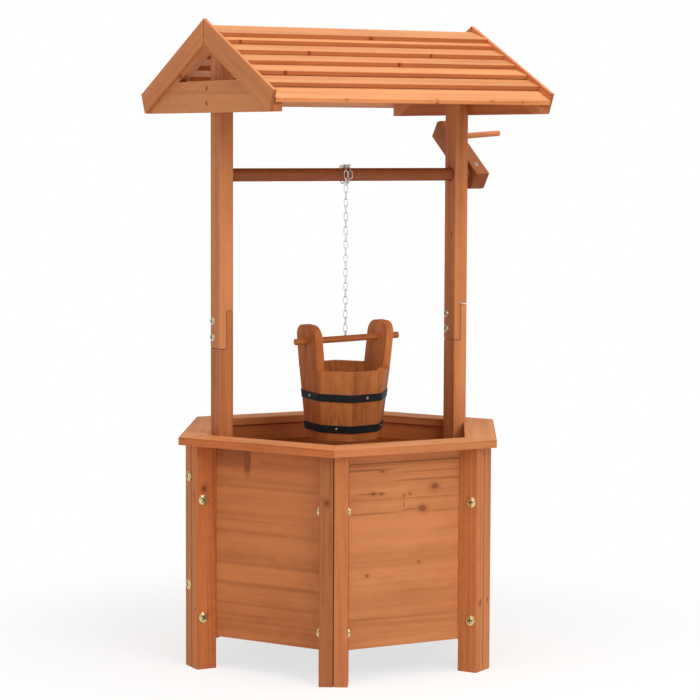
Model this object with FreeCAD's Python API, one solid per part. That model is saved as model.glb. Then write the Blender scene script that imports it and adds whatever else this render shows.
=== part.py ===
import FreeCAD, Part
import math
import os

from FreeCAD import Vector

# A wooden wishing well planter: a six-sided base on six legs, two posts, a slatted gable roof,
# a winch axle with a crank, and a bucket on a chain.
# Millimetres. X runs along the ridge and the axle, Y to the back, Z up.

# Base: six legs of two boards each, on the corners of a regular hexagon
leg_outer_radius = 292.0
leg_depth = 36.5
leg_board_width = 24.5
leg_board_gap = 0.8
leg_edge_round = 1.4
base_height = 404.0

# Rim of six mitred boards on the legs
rim_corner_radius = 316.0
rim_board_width = 55.0
rim_thickness = 14.0
rim_mitre_gap = 0.3
rim_edge_round = 1.5

# Side panels, bevelled at both ends to sit behind the legs
panel_thickness = 10.5
panel_bottom = 56.0
panel_end_gap = 4.0

# Floor of the planting tray
floor_drop = 43.0
floor_thickness = 9.0
floor_board_count = 4
floor_board_gap = 3.0
floor_edge_gap = 1.5
floor_rail_height = 22.0
floor_rail_width = 18.0
floor_rail_offset = 120.0
post_slot_clearance = 0.6

# Posts, each in two lengths with a half lap
post_width = 26.0
post_depth = 38.0
post_edge_round = 1.5
post_bottom = 60.0
post_top_drop = 40.0
lap_bottom = 554.0
lap_length = 67.0
lap_gap = 0.8
lap_top_gap_left = 0.6
lap_top_gap_right = 2.0

# Roof
roof_apex = 1120.0
roof_pitch = 24.8
barge_width = 38.0
barge_thickness = 6.0
barge_reach = 271.0
barge_edge_round = 0.8
rafter_apex_drop = 22.0
rafter_width = 26.0
rafter_thickness = 15.5
rafter_reach = 260.0
tie_drop = 160.0
tie_height = 54.0
mitre_gap = 0.35
slat_width = 58.0
slat_thickness = 7.5
slat_exposure = 39.0
slat_first_back = 18.6
last_slat_cover = 5.0
slat_count = 7
slat_end_gap = 0.3
slat_edge_round = 0.8

# Winch
axle_drop = 106.5
axle_radius = 11.5
axle_bearing_clearance = 0.08
axle_socket_depth = 18.0
axle_end_gap = 1.0
bearing_chamfer = 1.2
arm_clearance = 10.5
arm_thickness = 26.5
arm_half_width = 20.5
arm_hub_end = 25.0
arm_reach = 146.0
arm_corner_cut = 8.0
arm_angle = 35.6
arm_edge_round = 1.0
handle_distance = 120.0
handle_side_offset = 3.2
handle_radius = 5.25
handle_length = 100.5
handle_lean = 4.3
handle_end_round = 1.6
handle_socket_depth = 20.0
press_clearance = 0.02

# Chain of round wire links
link_wire = 1.6
link_inner_length = 12.6
link_inner_width = 4.8
link_play = 0.3
link_twist = 45.0
links_per_turn = 8
wound_links = 14
strand_spacing = 9.0

# Bucket, eight-sided and tapered, with two tall ear staves
bucket_turn = 6.0
bucket_half_width = 64.0
bucket_taper = 5.9
bucket_lean = 3.2
bucket_height = 123.0
bucket_wall = 15.0
bucket_sides = 8
bucket_corner_round = 18.0
bucket_floor_gap = 28.0
stave_gap = 0.3
ear_top = 202.0
ear_half_width = 30.0
ear_corner_round = 22.0
dowel_height = 173.0
dowel_radius = 5.75
dowel_length = 218.0
dowel_shift = 3.5
dowel_slope = 1.1
bucket_floor_bottom = 8.0
bucket_floor_thickness = 12.0
hoop_height = 13.5
hoop_thickness = 1.2
lower_hoop_bottom = 14.0
upper_hoop_bottom = 70.0
rivet_radius = 2.6
rivet_rise = 1.0
eye_wire = 1.8
eye_ring_radius = 3.9
eye_shank_length = 7.0
eye_clearance = 0.4

# Fasteners
bolt_flange_radius = 8.8
bolt_flange_thickness = 1.6
bolt_head_radius = 5.8
bolt_head_height = 2.8
bolt_shank_radius = 3.0
bolt_hole_clearance = 0.2
leg_bolt_inset = 12.0
leg_bolt_heights = (91.0, 296.0)
post_bolt_offset = 9.0
post_bolt_heights = (145.0, 334.0)
lap_bolt_flange_radius = 6.9
lap_bolt_heights = (573.5, 601.5)
lap_bolt_offset = 8.0
screw_head_radius = 4.5
screw_head_height = 1.0
screw_shank_radius = 1.9
screw_length = 30.0
gable_screw_rises = (16.0, 41.0)
gable_screw_sink = 3.0
gable_screw_ease = 0.3
crank_screw_offset = 3.0
anchor_head_radius = 3.2
anchor_head_height = 1.5
anchor_shank_radius = 1.15
anchor_screw_depth = 9.0
anchor_clearance = 0.3

# Places that follow from the sizes above
cos30 = math.cos(math.radians(30.0))
sin30 = math.sin(math.radians(30.0))
pitch_tan = math.tan(math.radians(roof_pitch))
pitch_cos = math.cos(math.radians(roof_pitch))
pitch_sin = math.sin(math.radians(roof_pitch))
leg_inner_radius = leg_outer_radius - leg_depth
leg_top = base_height - rim_thickness
rim_outer = rim_corner_radius * cos30
rim_inner = rim_outer - rim_board_width
panel_outer = cos30 * leg_inner_radius + sin30 * leg_board_width
panel_inner = panel_outer - panel_thickness
floor_top = base_height - floor_drop
floor_bottom = floor_top - floor_thickness
post_outer = (panel_inner - sin30 * post_depth / 2) / cos30
post_inner = post_outer - post_width
post_middle = post_outer - post_width / 2
lap_top = lap_bottom + lap_length
gable_outer = post_outer + rafter_thickness
tie_bottom = roof_apex - tie_drop
tie_top = tie_bottom + tie_height
post_top = roof_apex - post_top_drop
gable_screw_heights = [tie_bottom + rise for rise in gable_screw_rises]
axle_height = tie_bottom - axle_drop
rafter_apex = roof_apex - rafter_apex_drop
rafter_drop = rafter_width / pitch_cos
arm_inner = post_outer + arm_clearance
arm_outer = arm_inner + arm_thickness
lean_cos = math.cos(math.radians(handle_lean))
lean_sin = math.sin(math.radians(handle_lean))
handle_tip = (handle_length - handle_end_round) * lean_cos + (handle_radius - handle_end_round) * lean_sin
handle_end = arm_outer + handle_tip + handle_end_round
link_pitch = link_inner_length - link_play
link_half_length = (link_inner_length + link_wire) / 2
link_half_width = (link_inner_width + link_wire) / 2
chain_radius = link_pitch / 2 / math.tan(math.pi / links_per_turn)
bucket_slope = math.tan(math.radians(bucket_taper))
eye_centre = dowel_radius + eye_ring_radius
last_link = eye_centre + eye_ring_radius - (eye_wire + link_wire) / 2 - eye_clearance + link_half_length
chain_drop = axle_height - last_link - dowel_height - floor_top - bucket_floor_gap
hanging_links = int(chain_drop / link_pitch)
dowel_z = axle_height - hanging_links * link_pitch - last_link
bucket_z = dowel_z - dowel_height

# The object's own origin lies under the middle of its overall length
origin_x = (handle_end - rim_corner_radius) / 2

pieces = {}


def keep(name, *solids):
    """Add solids to the named piece."""
    pieces.setdefault(name, []).extend(solids)


def box(x0, x1, y0, y1, z0, z1):
    """A box between two corners."""
    return Part.makeBox(x1 - x0, y1 - y0, z1 - z0, Vector(x0, y0, z0))


def rod(radius, start, end):
    """A round rod from one point to another."""
    return Part.makeCylinder(radius, (end - start).Length, start, end - start)


def prism(points, along):
    """A flat outline carried along a vector."""
    return Part.Face(Part.makePolygon(points + points[:1])).extrude(along)


def turned(shape, degrees, centre=Vector(0, 0, 0), axis=Vector(0, 0, 1)):
    """A copy of a shape turned about an axis."""
    copy = shape.copy()
    copy.rotate(centre, axis, degrees)
    return copy


def moved(shape, x=0.0, y=0.0, z=0.0):
    """A copy of a shape moved."""
    copy = shape.copy()
    copy.translate(Vector(x, y, z))
    return copy


def mirrored_x(shape):
    """The same shape on the other side of X = 0."""
    return shape.mirror(Vector(0, 0, 0), Vector(1, 0, 0))


def mirrored_y(shape):
    """The same shape on the other side of Y = 0."""
    return shape.mirror(Vector(0, 0, 0), Vector(0, 1, 0))


def eased(shape, radius, along):
    """Round the straight edges that run along a direction."""
    edges = []
    for edge in shape.Edges:
        run = edge.Vertexes[-1].Point - edge.Vertexes[0].Point
        if run.Length > 4 * radius and run.cross(along).Length < 1e-6 * run.Length * along.Length:
            edges.append(edge)
    return shape.makeFillet(radius, edges)


def bolt_head(radius, place, outward):
    """A flanged head: a broad thin flange with a lower round head on it."""
    flange = Part.makeCylinder(radius, bolt_flange_thickness, place, outward)
    top = place + outward * bolt_flange_thickness
    cap_radius = min(bolt_head_radius, 0.75 * radius)
    cap = Part.makeCylinder(cap_radius, bolt_head_height, top, outward)
    cap = cap.makeFillet(0.4 * bolt_head_height, [cap.Edges[0]])
    return flange.fuse(cap)


def bolt_with_nut(radius, start, end):
    """A flanged bolt through what lies between two faces, and the flanged nut on its far side."""
    outward = (start - end).normalize()
    shank = rod(bolt_shank_radius, start, end - outward * 0.5 * bolt_flange_thickness)
    nut = bolt_head(radius, end, outward * -1)
    return [bolt_head(radius, start, outward).fuse(shank), nut.cut(shank)]


def bolt_hole(start, end):
    """The hole that a bolt passes through."""
    reach = (end - start).normalize()
    return rod(bolt_shank_radius + bolt_hole_clearance, start - reach, end + reach)


def wood_screw(place, outward, length, head_radius, head_height, shank_radius):
    """A screw with a low round head, driven in from a face."""
    head = Part.makeCylinder(head_radius, head_height, place, outward)
    head = head.makeFillet(0.5 * head_height, [head.Edges[0]])
    return head.fuse(rod(shank_radius, place, place - outward * length))


def wall_screw(place, outward, length):
    """One of the frame's own wood screws."""
    return wood_screw(place, outward, length, screw_head_radius, screw_head_height, screw_shank_radius)


def down_slope(apex, distance):
    """The height of a line down the roof's pitch, at a distance from the ridge."""
    return apex - distance * pitch_tan


def hexagon_prism(apothem, z0, z1):
    """An upright hexagonal prism with corners on the X axis."""
    corner = apothem / cos30
    angles = [math.radians(60.0 * i) for i in range(6)]
    points = [Vector(corner * math.cos(a), corner * math.sin(a), z0) for a in angles]
    return prism(points, Vector(0, 0, z1 - z0))


# Legs
leg_names = {0: "right", 60: "back_right", 120: "back_left", 180: "left", 240: "front_left", 300: "front_right"}
leg_board = box(leg_inner_radius, leg_outer_radius, leg_board_gap / 2, leg_board_width, 0, leg_top)
leg_board = eased(leg_board, leg_edge_round, Vector(0, 0, 1))
leg_bolt_radius = leg_outer_radius - leg_bolt_inset
leg_side = Vector(leg_bolt_radius, leg_board_width, 0)
far_side = Vector(leg_bolt_radius, -leg_board_width, 0)
for angle, corner in leg_names.items():
    holes = []
    fixings = []
    for height in leg_bolt_heights:
        lift = Vector(0, 0, height)
        holes.append(bolt_hole(leg_side + lift, far_side + lift))
        fixings += bolt_with_nut(bolt_flange_radius, leg_side + lift, far_side + lift)
    if corner in ("left", "right"):
        for height in post_bolt_heights:
            outer = Vector(leg_outer_radius, -post_bolt_offset, height)
            inner = Vector(post_inner, -post_bolt_offset, height)
            holes.append(bolt_hole(outer, inner))
            keep("post_bolts", *[turned(s, angle) for s in bolt_with_nut(bolt_flange_radius, outer, inner)])
    for board in (leg_board, mirrored_y(leg_board)):
        for hole in holes:
            board = board.cut(hole)
        keep("leg_" + corner, turned(board, angle))
    keep("leg_bolts", *[turned(fixing, angle) for fixing in fixings])

# Posts: left and right, each a lower and an upper length
post_box = box(-post_outer, -post_inner, -post_depth / 2, post_depth / 2, post_bottom, post_top)
post_box = eased(post_box, post_edge_round, Vector(0, 0, 1))
wide = 2 * post_depth
for side in (-1, 1):
    name = "left" if side < 0 else "right"
    outer_face = side * post_outer
    inner_face = side * post_inner
    middle = side * post_middle
    whole = post_box if side < 0 else mirrored_x(post_box)
    left_face = middle - post_width / 2
    right_face = middle + post_width / 2
    lower_tongue = box(left_face - 1, middle, -wide, wide, lap_bottom, lap_top + 1)
    lap_top_gap = lap_top_gap_left if side < 0 else lap_top_gap_right
    above_lap = box(left_face - 1, right_face + 1, -wide, wide, lap_top - lap_top_gap, post_top + 1)
    lower = whole.cut(lower_tongue).cut(above_lap)
    upper_tongue = box(middle, right_face + 1, -wide, wide, lap_bottom - 1, lap_top)
    below_lap = box(left_face - 1, right_face + 1, -wide, wide, post_bottom - 1, lap_bottom + lap_gap)
    upper = whole.cut(upper_tongue).cut(below_lap)
    for height in lap_bolt_heights:
        start = Vector(left_face, lap_bolt_offset, height)
        end = Vector(right_face, lap_bolt_offset, height)
        lower = lower.cut(bolt_hole(start, end))
        upper = upper.cut(bolt_hole(start, end))
        keep("post_bolts", *bolt_with_nut(lap_bolt_flange_radius, start, end))
    for height in post_bolt_heights:
        offset = post_bolt_offset * -side
        lower = lower.cut(bolt_hole(Vector(outer_face, offset, height), Vector(inner_face, offset, height)))
    bore_radius = axle_radius + axle_bearing_clearance
    bore_start = -post_inner - axle_socket_depth if side < 0 else post_inner - 1
    bore_end = -post_inner + 1 if side < 0 else post_outer + 1
    upper = upper.cut(rod(bore_radius, Vector(bore_start, 0, axle_height), Vector(bore_end, 0, axle_height)))
    mouth = Part.makeCone(bore_radius, bore_radius + bearing_chamfer, bearing_chamfer,
                          Vector(inner_face + side * bearing_chamfer, 0, axle_height), Vector(-side, 0, 0))
    upper = upper.cut(mouth)
    screw_seat = gable_outer - gable_screw_sink
    sink_radius = screw_head_radius + gable_screw_ease
    gable_holes = []
    for height in gable_screw_heights:
        seat = Vector(side * screw_seat, 0, height)
        shank_hole = rod(screw_shank_radius, seat, Vector(side * (screw_seat - screw_length), 0, height))
        gable_holes.append(shank_hole.fuse(rod(sink_radius, seat, Vector(side * (gable_outer + 1), 0, height))))
    for hole in gable_holes:
        upper = upper.cut(hole)
    keep("post_lower_" + name, lower)
    keep("post_upper_" + name, upper)

    # Gable frame on the outer face of the post: tie beam, two rafters and two bargeboards
    tie_end = (rafter_apex - rafter_drop - tie_bottom) / pitch_tan
    tie_shoulder = (rafter_apex - rafter_drop - tie_top) / pitch_tan
    tie_x = side * post_outer
    tie_run = Vector(side * rafter_thickness, 0, 0)
    tie = prism([Vector(tie_x, -tie_end, tie_bottom), Vector(tie_x, tie_end, tie_bottom),
                 Vector(tie_x, tie_shoulder, tie_top), Vector(tie_x, -tie_shoulder, tie_top)], tie_run)
    for hole in gable_holes:
        tie = tie.cut(hole)
    keep("tie_beam_" + name, tie)
    for height in gable_screw_heights:
        keep("gable_screws", wall_screw(Vector(side * screw_seat, 0, height), Vector(side, 0, 0), screw_length))

    rafter = prism([Vector(tie_x, -mitre_gap, down_slope(rafter_apex, mitre_gap)),
                    Vector(tie_x, -rafter_reach, down_slope(rafter_apex, rafter_reach)),
                    Vector(tie_x, -rafter_reach, tie_bottom), Vector(tie_x, -tie_end, tie_bottom),
                    Vector(tie_x, -mitre_gap, down_slope(rafter_apex - rafter_drop, mitre_gap))], tie_run)
    keep("rafter_" + name + "_front", rafter)
    keep("rafter_" + name + "_back", mirrored_y(rafter))

    barge_x = side * gable_outer
    corner_z = down_slope(roof_apex, barge_reach)
    barge = prism([Vector(barge_x, -mitre_gap, down_slope(roof_apex, mitre_gap)),
                   Vector(barge_x, -barge_reach, corner_z),
                   Vector(barge_x, -barge_reach + barge_width * pitch_sin, corner_z - barge_width * pitch_cos),
                   Vector(barge_x, -mitre_gap, down_slope(roof_apex - barge_width / pitch_cos, mitre_gap))],
                  Vector(side * barge_thickness, 0, 0))
    barge = eased(barge, barge_edge_round, Vector(0, pitch_cos, pitch_sin))
    keep("bargeboard_" + name + "_front", barge)
    keep("bargeboard_" + name + "_back", mirrored_y(barge))

# Side panels and rim boards
panel_names = {30: "back_right", 90: "back", 150: "back_left", 210: "front_left", 270: "front", 330: "front_right"}


def beside_leg(radius, offset):
    """A point at a radius along a leg, moved sideways towards the panel, as seen from the panel's middle."""
    return cos30 * radius + sin30 * offset, sin30 * radius - cos30 * offset


bevel_start = beside_leg(leg_inner_radius, leg_board_width)
bevel_end = beside_leg(leg_inner_radius, panel_end_gap)
inner_end_y = beside_leg((panel_inner - sin30 * panel_end_gap) / cos30, panel_end_gap)[1]
panel_half = [bevel_start, bevel_end, (panel_inner, inner_end_y)]
panel_outline = panel_half + [(x, -y) for x, y in reversed(panel_half)]
panel_points = [Vector(x, y, panel_bottom) for x, y in panel_outline]
panel = prism(panel_points, Vector(0, 0, leg_top - panel_bottom))

rim_points = [Vector(rim_inner, -rim_inner * sin30 / cos30 + rim_mitre_gap, leg_top),
              Vector(rim_outer, -rim_outer * sin30 / cos30 + rim_mitre_gap, leg_top),
              Vector(rim_outer, rim_outer * sin30 / cos30 - rim_mitre_gap, leg_top),
              Vector(rim_inner, rim_inner * sin30 / cos30 - rim_mitre_gap, leg_top)]
rim_board = eased(prism(rim_points, Vector(0, 0, rim_thickness)), rim_edge_round, Vector(0, 1, 0))
slot = post_slot_clearance
post_slots = [
    box(sign * post_middle - post_width / 2 - slot, sign * post_middle + post_width / 2 + slot,
        -post_depth / 2 - slot, post_depth / 2 + slot, 0, lap_bottom)
    for sign in (-1, 1)
]
post_bolt_holes = [
    turned(bolt_hole(Vector(leg_outer_radius, -post_bolt_offset, h), Vector(post_inner, -post_bolt_offset, h)), angle)
    for h in post_bolt_heights for angle in (0, 180)
]
for angle, name in panel_names.items():
    side_panel = turned(panel, angle)
    for hole in post_bolt_holes:
        side_panel = side_panel.cut(hole)
    keep("panel_" + name, side_panel)
    board = turned(rim_board, angle)
    for post_slot in post_slots:
        board = board.cut(post_slot)
    keep("rim_" + name, board)

# Floor of the tray: boards from front to back on two rails
floor_hexagon = hexagon_prism(panel_inner - floor_edge_gap, floor_bottom, floor_top)
floor_corner = (panel_inner - floor_edge_gap) / cos30
floor_pitch = 2 * floor_corner / floor_board_count
for i in range(floor_board_count):
    start = -floor_corner + i * floor_pitch + floor_board_gap / 2
    strip = box(start, start + floor_pitch - floor_board_gap, -rim_outer, rim_outer, floor_bottom, floor_top)
    board = floor_hexagon.common(strip)
    for sign in (-1, 1):
        x0, x1 = sorted((sign * (post_inner - slot), sign * rim_corner_radius))
        board = board.cut(box(x0, x1, -post_depth / 2 - slot, post_depth / 2 + slot, 0, lap_bottom))
    keep("floor_boards", board)
rail_zone = hexagon_prism(panel_inner, floor_bottom - floor_rail_height, floor_bottom)
for sign in (-1, 1):
    rail_y = sign * floor_rail_offset
    rail = box(-rim_corner_radius, rim_corner_radius, rail_y - floor_rail_width / 2, rail_y + floor_rail_width / 2,
               0, floor_bottom)
    keep("floor_rails", rail_zone.common(rail))

# Roof slats: overlapped rows, each tilted so that it lies on the upper edge of the row below
slat_tilt = math.radians(roof_pitch) - math.asin(slat_thickness * pitch_cos / slat_exposure)
step_to_last = slat_width - last_slat_cover
tilt_over_last = math.radians(roof_pitch) - math.asin(slat_thickness / step_to_last)
last_slat_shift = step_to_last - slat_exposure / pitch_cos
slat_half_length = gable_outer - slat_end_gap


def slat(back_y, back_z, tilt, width):
    """One front slat: the lower corner of its upper edge, its tilt in radians, and its width."""
    down = Vector(0, -math.cos(tilt), -math.sin(tilt))
    up = Vector(0, -math.sin(tilt), math.cos(tilt))
    corner = Vector(-slat_half_length, -back_y, back_z)
    points = [corner, corner + down * width, corner + down * width + up * slat_thickness,
              corner + up * slat_thickness]
    return eased(prism(points, Vector(2 * slat_half_length, 0, 0)), slat_edge_round, Vector(1, 0, 0))


for row in range(1, slat_count + 1):
    back = slat_first_back + (row - 2) * slat_exposure
    width = slat_width
    tilt = slat_tilt
    if row == slat_count:
        back += last_slat_shift * pitch_cos
        width -= last_slat_shift
    height = down_slope(rafter_apex, back)
    if row == 1:
        back = mitre_gap
        lying_on_row_2 = slat_thickness / math.cos(slat_tilt) + (slat_first_back - back) * math.tan(slat_tilt)
        height = down_slope(rafter_apex, slat_first_back) + lying_on_row_2
    if row == slat_count - 1:
        tilt = tilt_over_last
    if row == slat_count:
        tilt = math.radians(roof_pitch)
    front_slat = slat(back, height, tilt, width)
    keep("roof_slats_row_" + str(row), front_slat, mirrored_y(front_slat))

# Winch: axle, crank arm and handle
hub = Vector(0, 0, axle_height)
axle_start = Vector(-post_inner - axle_socket_depth + axle_end_gap, 0, axle_height)
axle = rod(axle_radius, axle_start, Vector(arm_outer, 0, axle_height))
arm_points = [Vector(arm_inner, -arm_hub_end, arm_half_width),
              Vector(arm_inner, -arm_hub_end, -arm_half_width + arm_corner_cut),
              Vector(arm_inner, -arm_hub_end + arm_corner_cut, -arm_half_width),
              Vector(arm_inner, arm_reach, -arm_half_width),
              Vector(arm_inner, arm_reach, arm_half_width - arm_corner_cut),
              Vector(arm_inner, arm_reach - arm_corner_cut, arm_half_width)]
arm = prism(arm_points, Vector(arm_thickness, 0, 0))
arm = eased(arm, arm_edge_round, Vector(1, 0, 0))
arm = arm.cut(rod(axle_radius + press_clearance, Vector(arm_inner - 1, 0, 0), Vector(arm_outer + 1, 0, 0)))
socket_end = arm_outer - handle_socket_depth
handle_foot = Vector(arm_outer, handle_distance, -handle_side_offset)
lean_axis = Vector(0, -math.cos(math.radians(arm_angle)), math.sin(math.radians(arm_angle)))
handle_inner_end = Vector(socket_end, handle_distance, -handle_side_offset)
socket = rod(handle_radius + press_clearance, handle_inner_end, handle_foot + Vector(handle_radius, 0, 0))
arm = arm.cut(turned(socket, handle_lean, handle_foot, lean_axis))
handle = rod(handle_radius, handle_inner_end, handle_foot + Vector(handle_length, 0, 0))
handle = handle.makeFillet(handle_end_round, [e for e in handle.Edges if e.BoundBox.XMin > arm_outer])
handle = turned(handle, handle_lean, handle_foot, lean_axis)
screw_place = Vector((arm_inner + arm_outer) / 2, crank_screw_offset, arm_half_width)
crank_screw = wall_screw(screw_place, Vector(0, 0, 1), arm_half_width - axle_radius - 2 * press_clearance)
arm = arm.cut(crank_screw)


def on_crank(shape):
    """Put a piece drawn along the arm at the arm's rest angle on the axle."""
    return moved(turned(shape, arm_angle, axis=Vector(1, 0, 0)), z=axle_height)


keep("winch_axle", axle)
keep("crank_arm", on_crank(arm))
keep("crank_handle", on_crank(handle))
keep("winch_screws", on_crank(crank_screw))


# Chain links
def link():
    """One link, its length along Z and its flat side facing Y, round wire all the way."""
    end_radius = (link_inner_width + link_wire) / 2
    straight = link_half_length - end_radius
    upper_end = Part.makeTorus(end_radius, link_wire / 2, Vector(0, 0, straight), Vector(0, 1, 0))
    upper_end = upper_end.common(box(-2 * end_radius, 2 * end_radius, -link_wire, link_wire,
                                     straight, straight + 2 * end_radius))
    lower_end = upper_end.mirror(Vector(0, 0, 0), Vector(0, 0, 1))
    sides = [rod(link_wire / 2, Vector(x, 0, -straight), Vector(x, 0, straight)) for x in (-end_radius, end_radius)]
    whole = upper_end.fuse(sides + [lower_end]).removeSplitter()
    return Part.Solid(whole.Shells[0])


one_link = link()
for i in range(hanging_links):
    last_twist = link_twist if i % 2 == 0 else -link_twist
    twisted = turned(one_link, last_twist)
    keep("chain_hanging", moved(twisted, y=-chain_radius, z=axle_height - (i + 1) * link_pitch))
turn_step = 360.0 / links_per_turn
for i in range(wound_links):
    twisted = turned(one_link, -link_twist if i % 2 == 0 else link_twist)
    placed = moved(twisted, x=i * strand_spacing / links_per_turn, y=-chain_radius)
    wound = turned(placed, -i * turn_step, axis=Vector(1, 0, 0))
    keep("chain_on_axle", moved(wound, z=axle_height))
anchor_turn = -(wound_links - 1) * turn_step
anchor_x = (wound_links - 1) * strand_spacing / links_per_turn
link_reach = link_half_width * math.sin(math.radians(link_twist)) + link_wire / 2
anchor_seat = chain_radius + link_reach + anchor_clearance
anchor = wood_screw(Vector(anchor_x, -anchor_seat, 0), Vector(0, -1, 0), anchor_seat - axle_radius + anchor_screw_depth,
                    anchor_head_radius, anchor_head_height, anchor_shank_radius)
anchor = moved(turned(anchor, anchor_turn, axis=Vector(1, 0, 0)), z=axle_height)
pieces["winch_axle"] = [pieces["winch_axle"][0].cut(anchor)]
keep("winch_screws", anchor)


# Bucket
def octagon(half_width, z):
    """An eight-sided outline with flats facing X and Y."""
    corner = half_width / math.cos(math.pi / bucket_sides)
    angles = [math.pi * (2 * i + 1) / bucket_sides for i in range(bucket_sides)]
    points = [Vector(corner * math.cos(a), corner * math.sin(a), z) for a in angles]
    return Part.makePolygon(points + points[:1])


def tapered(offset, z0, z1):
    """A solid that fills the bucket's outer form, moved out by an offset, between two heights."""
    low = octagon(bucket_half_width + offset + bucket_slope * z0, z0)
    high = octagon(bucket_half_width + offset + bucket_slope * z1, z1)
    return Part.makeLoft([low, high], True, True)


def rounded(offset, z0, z1):
    """The same solid with its eight upright corners rounded."""
    solid = tapered(offset, z0, z1)
    upright = [edge for edge in solid.Edges if edge.BoundBox.ZLength > 0.5 * (z1 - z0)]
    return solid.makeFillet(bucket_corner_round + offset, upright)


wall_offset = bucket_wall / math.cos(math.radians(bucket_taper))
bucket_ring = rounded(0, 0, bucket_height).cut(tapered(-wall_offset, -1, bucket_height + 1))
far = 2 * bucket_half_width
half_sector = math.tan(math.pi / bucket_sides)
sector = prism([Vector(stave_gap, 0, 0), Vector(far, (far - stave_gap) * half_sector, 0),
                Vector(far, -(far - stave_gap) * half_sector, 0)], Vector(0, 0, ear_top))
stave = bucket_ring.common(sector)
hole_radius = dowel_radius + axle_bearing_clearance
ear_board = box(-wall_offset, 0, -ear_half_width, ear_half_width, bucket_height, ear_top)
corners = []
for edge in ear_board.Edges:
    bounds = edge.BoundBox
    if bounds.ZLength < 0.1 * bucket_wall < bounds.XLength and bounds.ZMin > dowel_height:
        corners.append(edge)
ear_board = ear_board.makeFillet(ear_corner_round, corners)
ear_lean = FreeCAD.Matrix()
ear_lean.A13 = bucket_slope
ear_board = ear_board.transformGeometry(ear_lean)
ear_board.translate(Vector(bucket_half_width, 0, 0))
ear_hole = rod(hole_radius, Vector(0, 0, dowel_height), Vector(far, 0, dowel_height))
ear = stave.fuse(ear_board).removeSplitter().cut(ear_hole)


dowel_middle = Vector(0, 0, dowel_height)


def on_dowel(shape):
    """Put a piece drawn about the upright bucket on the dowel, which hangs with its right end a little up."""
    sloped = turned(shape, -dowel_slope, dowel_middle, Vector(0, 1, 0))
    return moved(turned(sloped, bucket_turn), y=-chain_radius, z=bucket_z)


def on_bucket(shape):
    """Put a piece drawn about the upright bucket where the bucket hangs, its mouth tipped a little to the front."""
    return on_dowel(turned(shape, bucket_lean, dowel_middle, Vector(1, 0, 0)))


keep("bucket_ear_left", on_bucket(turned(ear, 180)))
keep("bucket_ear_right", on_bucket(ear))
for name, middle in (("bucket_staves_front", 270), ("bucket_staves_back", 90)):
    keep(name, *[on_bucket(turned(stave, middle + step)) for step in (-45, 0, 45)])
floor_plate_top = bucket_floor_bottom + bucket_floor_thickness
keep("bucket_floor", on_bucket(tapered(-wall_offset, bucket_floor_bottom, floor_plate_top)))
rivet_slope = Vector(1, 0, -bucket_slope).normalize()
for name, bottom, first in (("bucket_hoop_upper", upper_hoop_bottom, 0), ("bucket_hoop_lower", lower_hoop_bottom, 45)):
    top = bottom + hoop_height
    hoop = rounded(hoop_thickness, bottom, top).cut(rounded(0, bottom - 1, top + 1))
    keep(name, on_bucket(hoop))
    middle_z = bottom + hoop_height / 2
    middle_x = bucket_half_width + hoop_thickness + bucket_slope * middle_z
    rivet = Part.makeCylinder(rivet_radius, rivet_rise, Vector(middle_x, 0, middle_z), rivet_slope)
    rivet = rivet.makeFillet(0.6 * rivet_rise, [rivet.Edges[0]])
    keep("bucket_rivets", *[on_bucket(turned(rivet, first + 90 * i)) for i in range(4)])

# Bucket dowel with the screw eye that the chain hooks into
dowel_start = Vector(dowel_shift - dowel_length / 2, 0, dowel_height)
dowel = rod(dowel_radius, dowel_start, dowel_start + Vector(dowel_length, 0, 0))
dowel = dowel.makeFillet(0.2 * dowel_radius, [e for e in dowel.Edges if e.BoundBox.XLength < 0.5 * dowel_radius])
eye_z = dowel_height + eye_centre
eye_facing = Vector(math.cos(math.radians(last_twist)), math.sin(math.radians(last_twist)), 0)
eye = Part.makeTorus(eye_ring_radius, eye_wire / 2, Vector(0, 0, eye_z), eye_facing)
shank_top = Vector(0, 0, eye_z - eye_ring_radius)
eye_shank = rod(eye_wire / 2, shank_top, shank_top - Vector(0, 0, eye_shank_length))
eye = moved(eye.fuse(eye_shank), y=-chain_radius, z=bucket_z)
keep("bucket_dowel", on_dowel(dowel).cut(eye))
keep("chain_eye", eye)

# Write one file per named piece
os.makedirs("parts", exist_ok=True)
for name, solids in pieces.items():
    placed = [moved(solid, x=-origin_x) for solid in solids]
    whole = placed[0] if len(placed) == 1 else Part.makeCompound(placed)
    whole.exportStep("parts/" + name + ".step")
    count = len(whole.Solids)
    if not whole.isValid() or count != len(solids):
        print("check", name, count, len(solids))
print(len(pieces), "pieces, origin moved", round(origin_x, 2))
print("bucket foot", round(bucket_z, 2), "dowel", round(dowel_z, 2), "chain radius", round(chain_radius, 3))
print("floor top", floor_top, "post outer", round(post_outer, 2), "handle end", handle_end)
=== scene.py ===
import logging
import math
from dataclasses import dataclass, field, replace
from enum import Enum

import bpy
import numpy as np
from mathutils import Matrix, Vector


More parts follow.
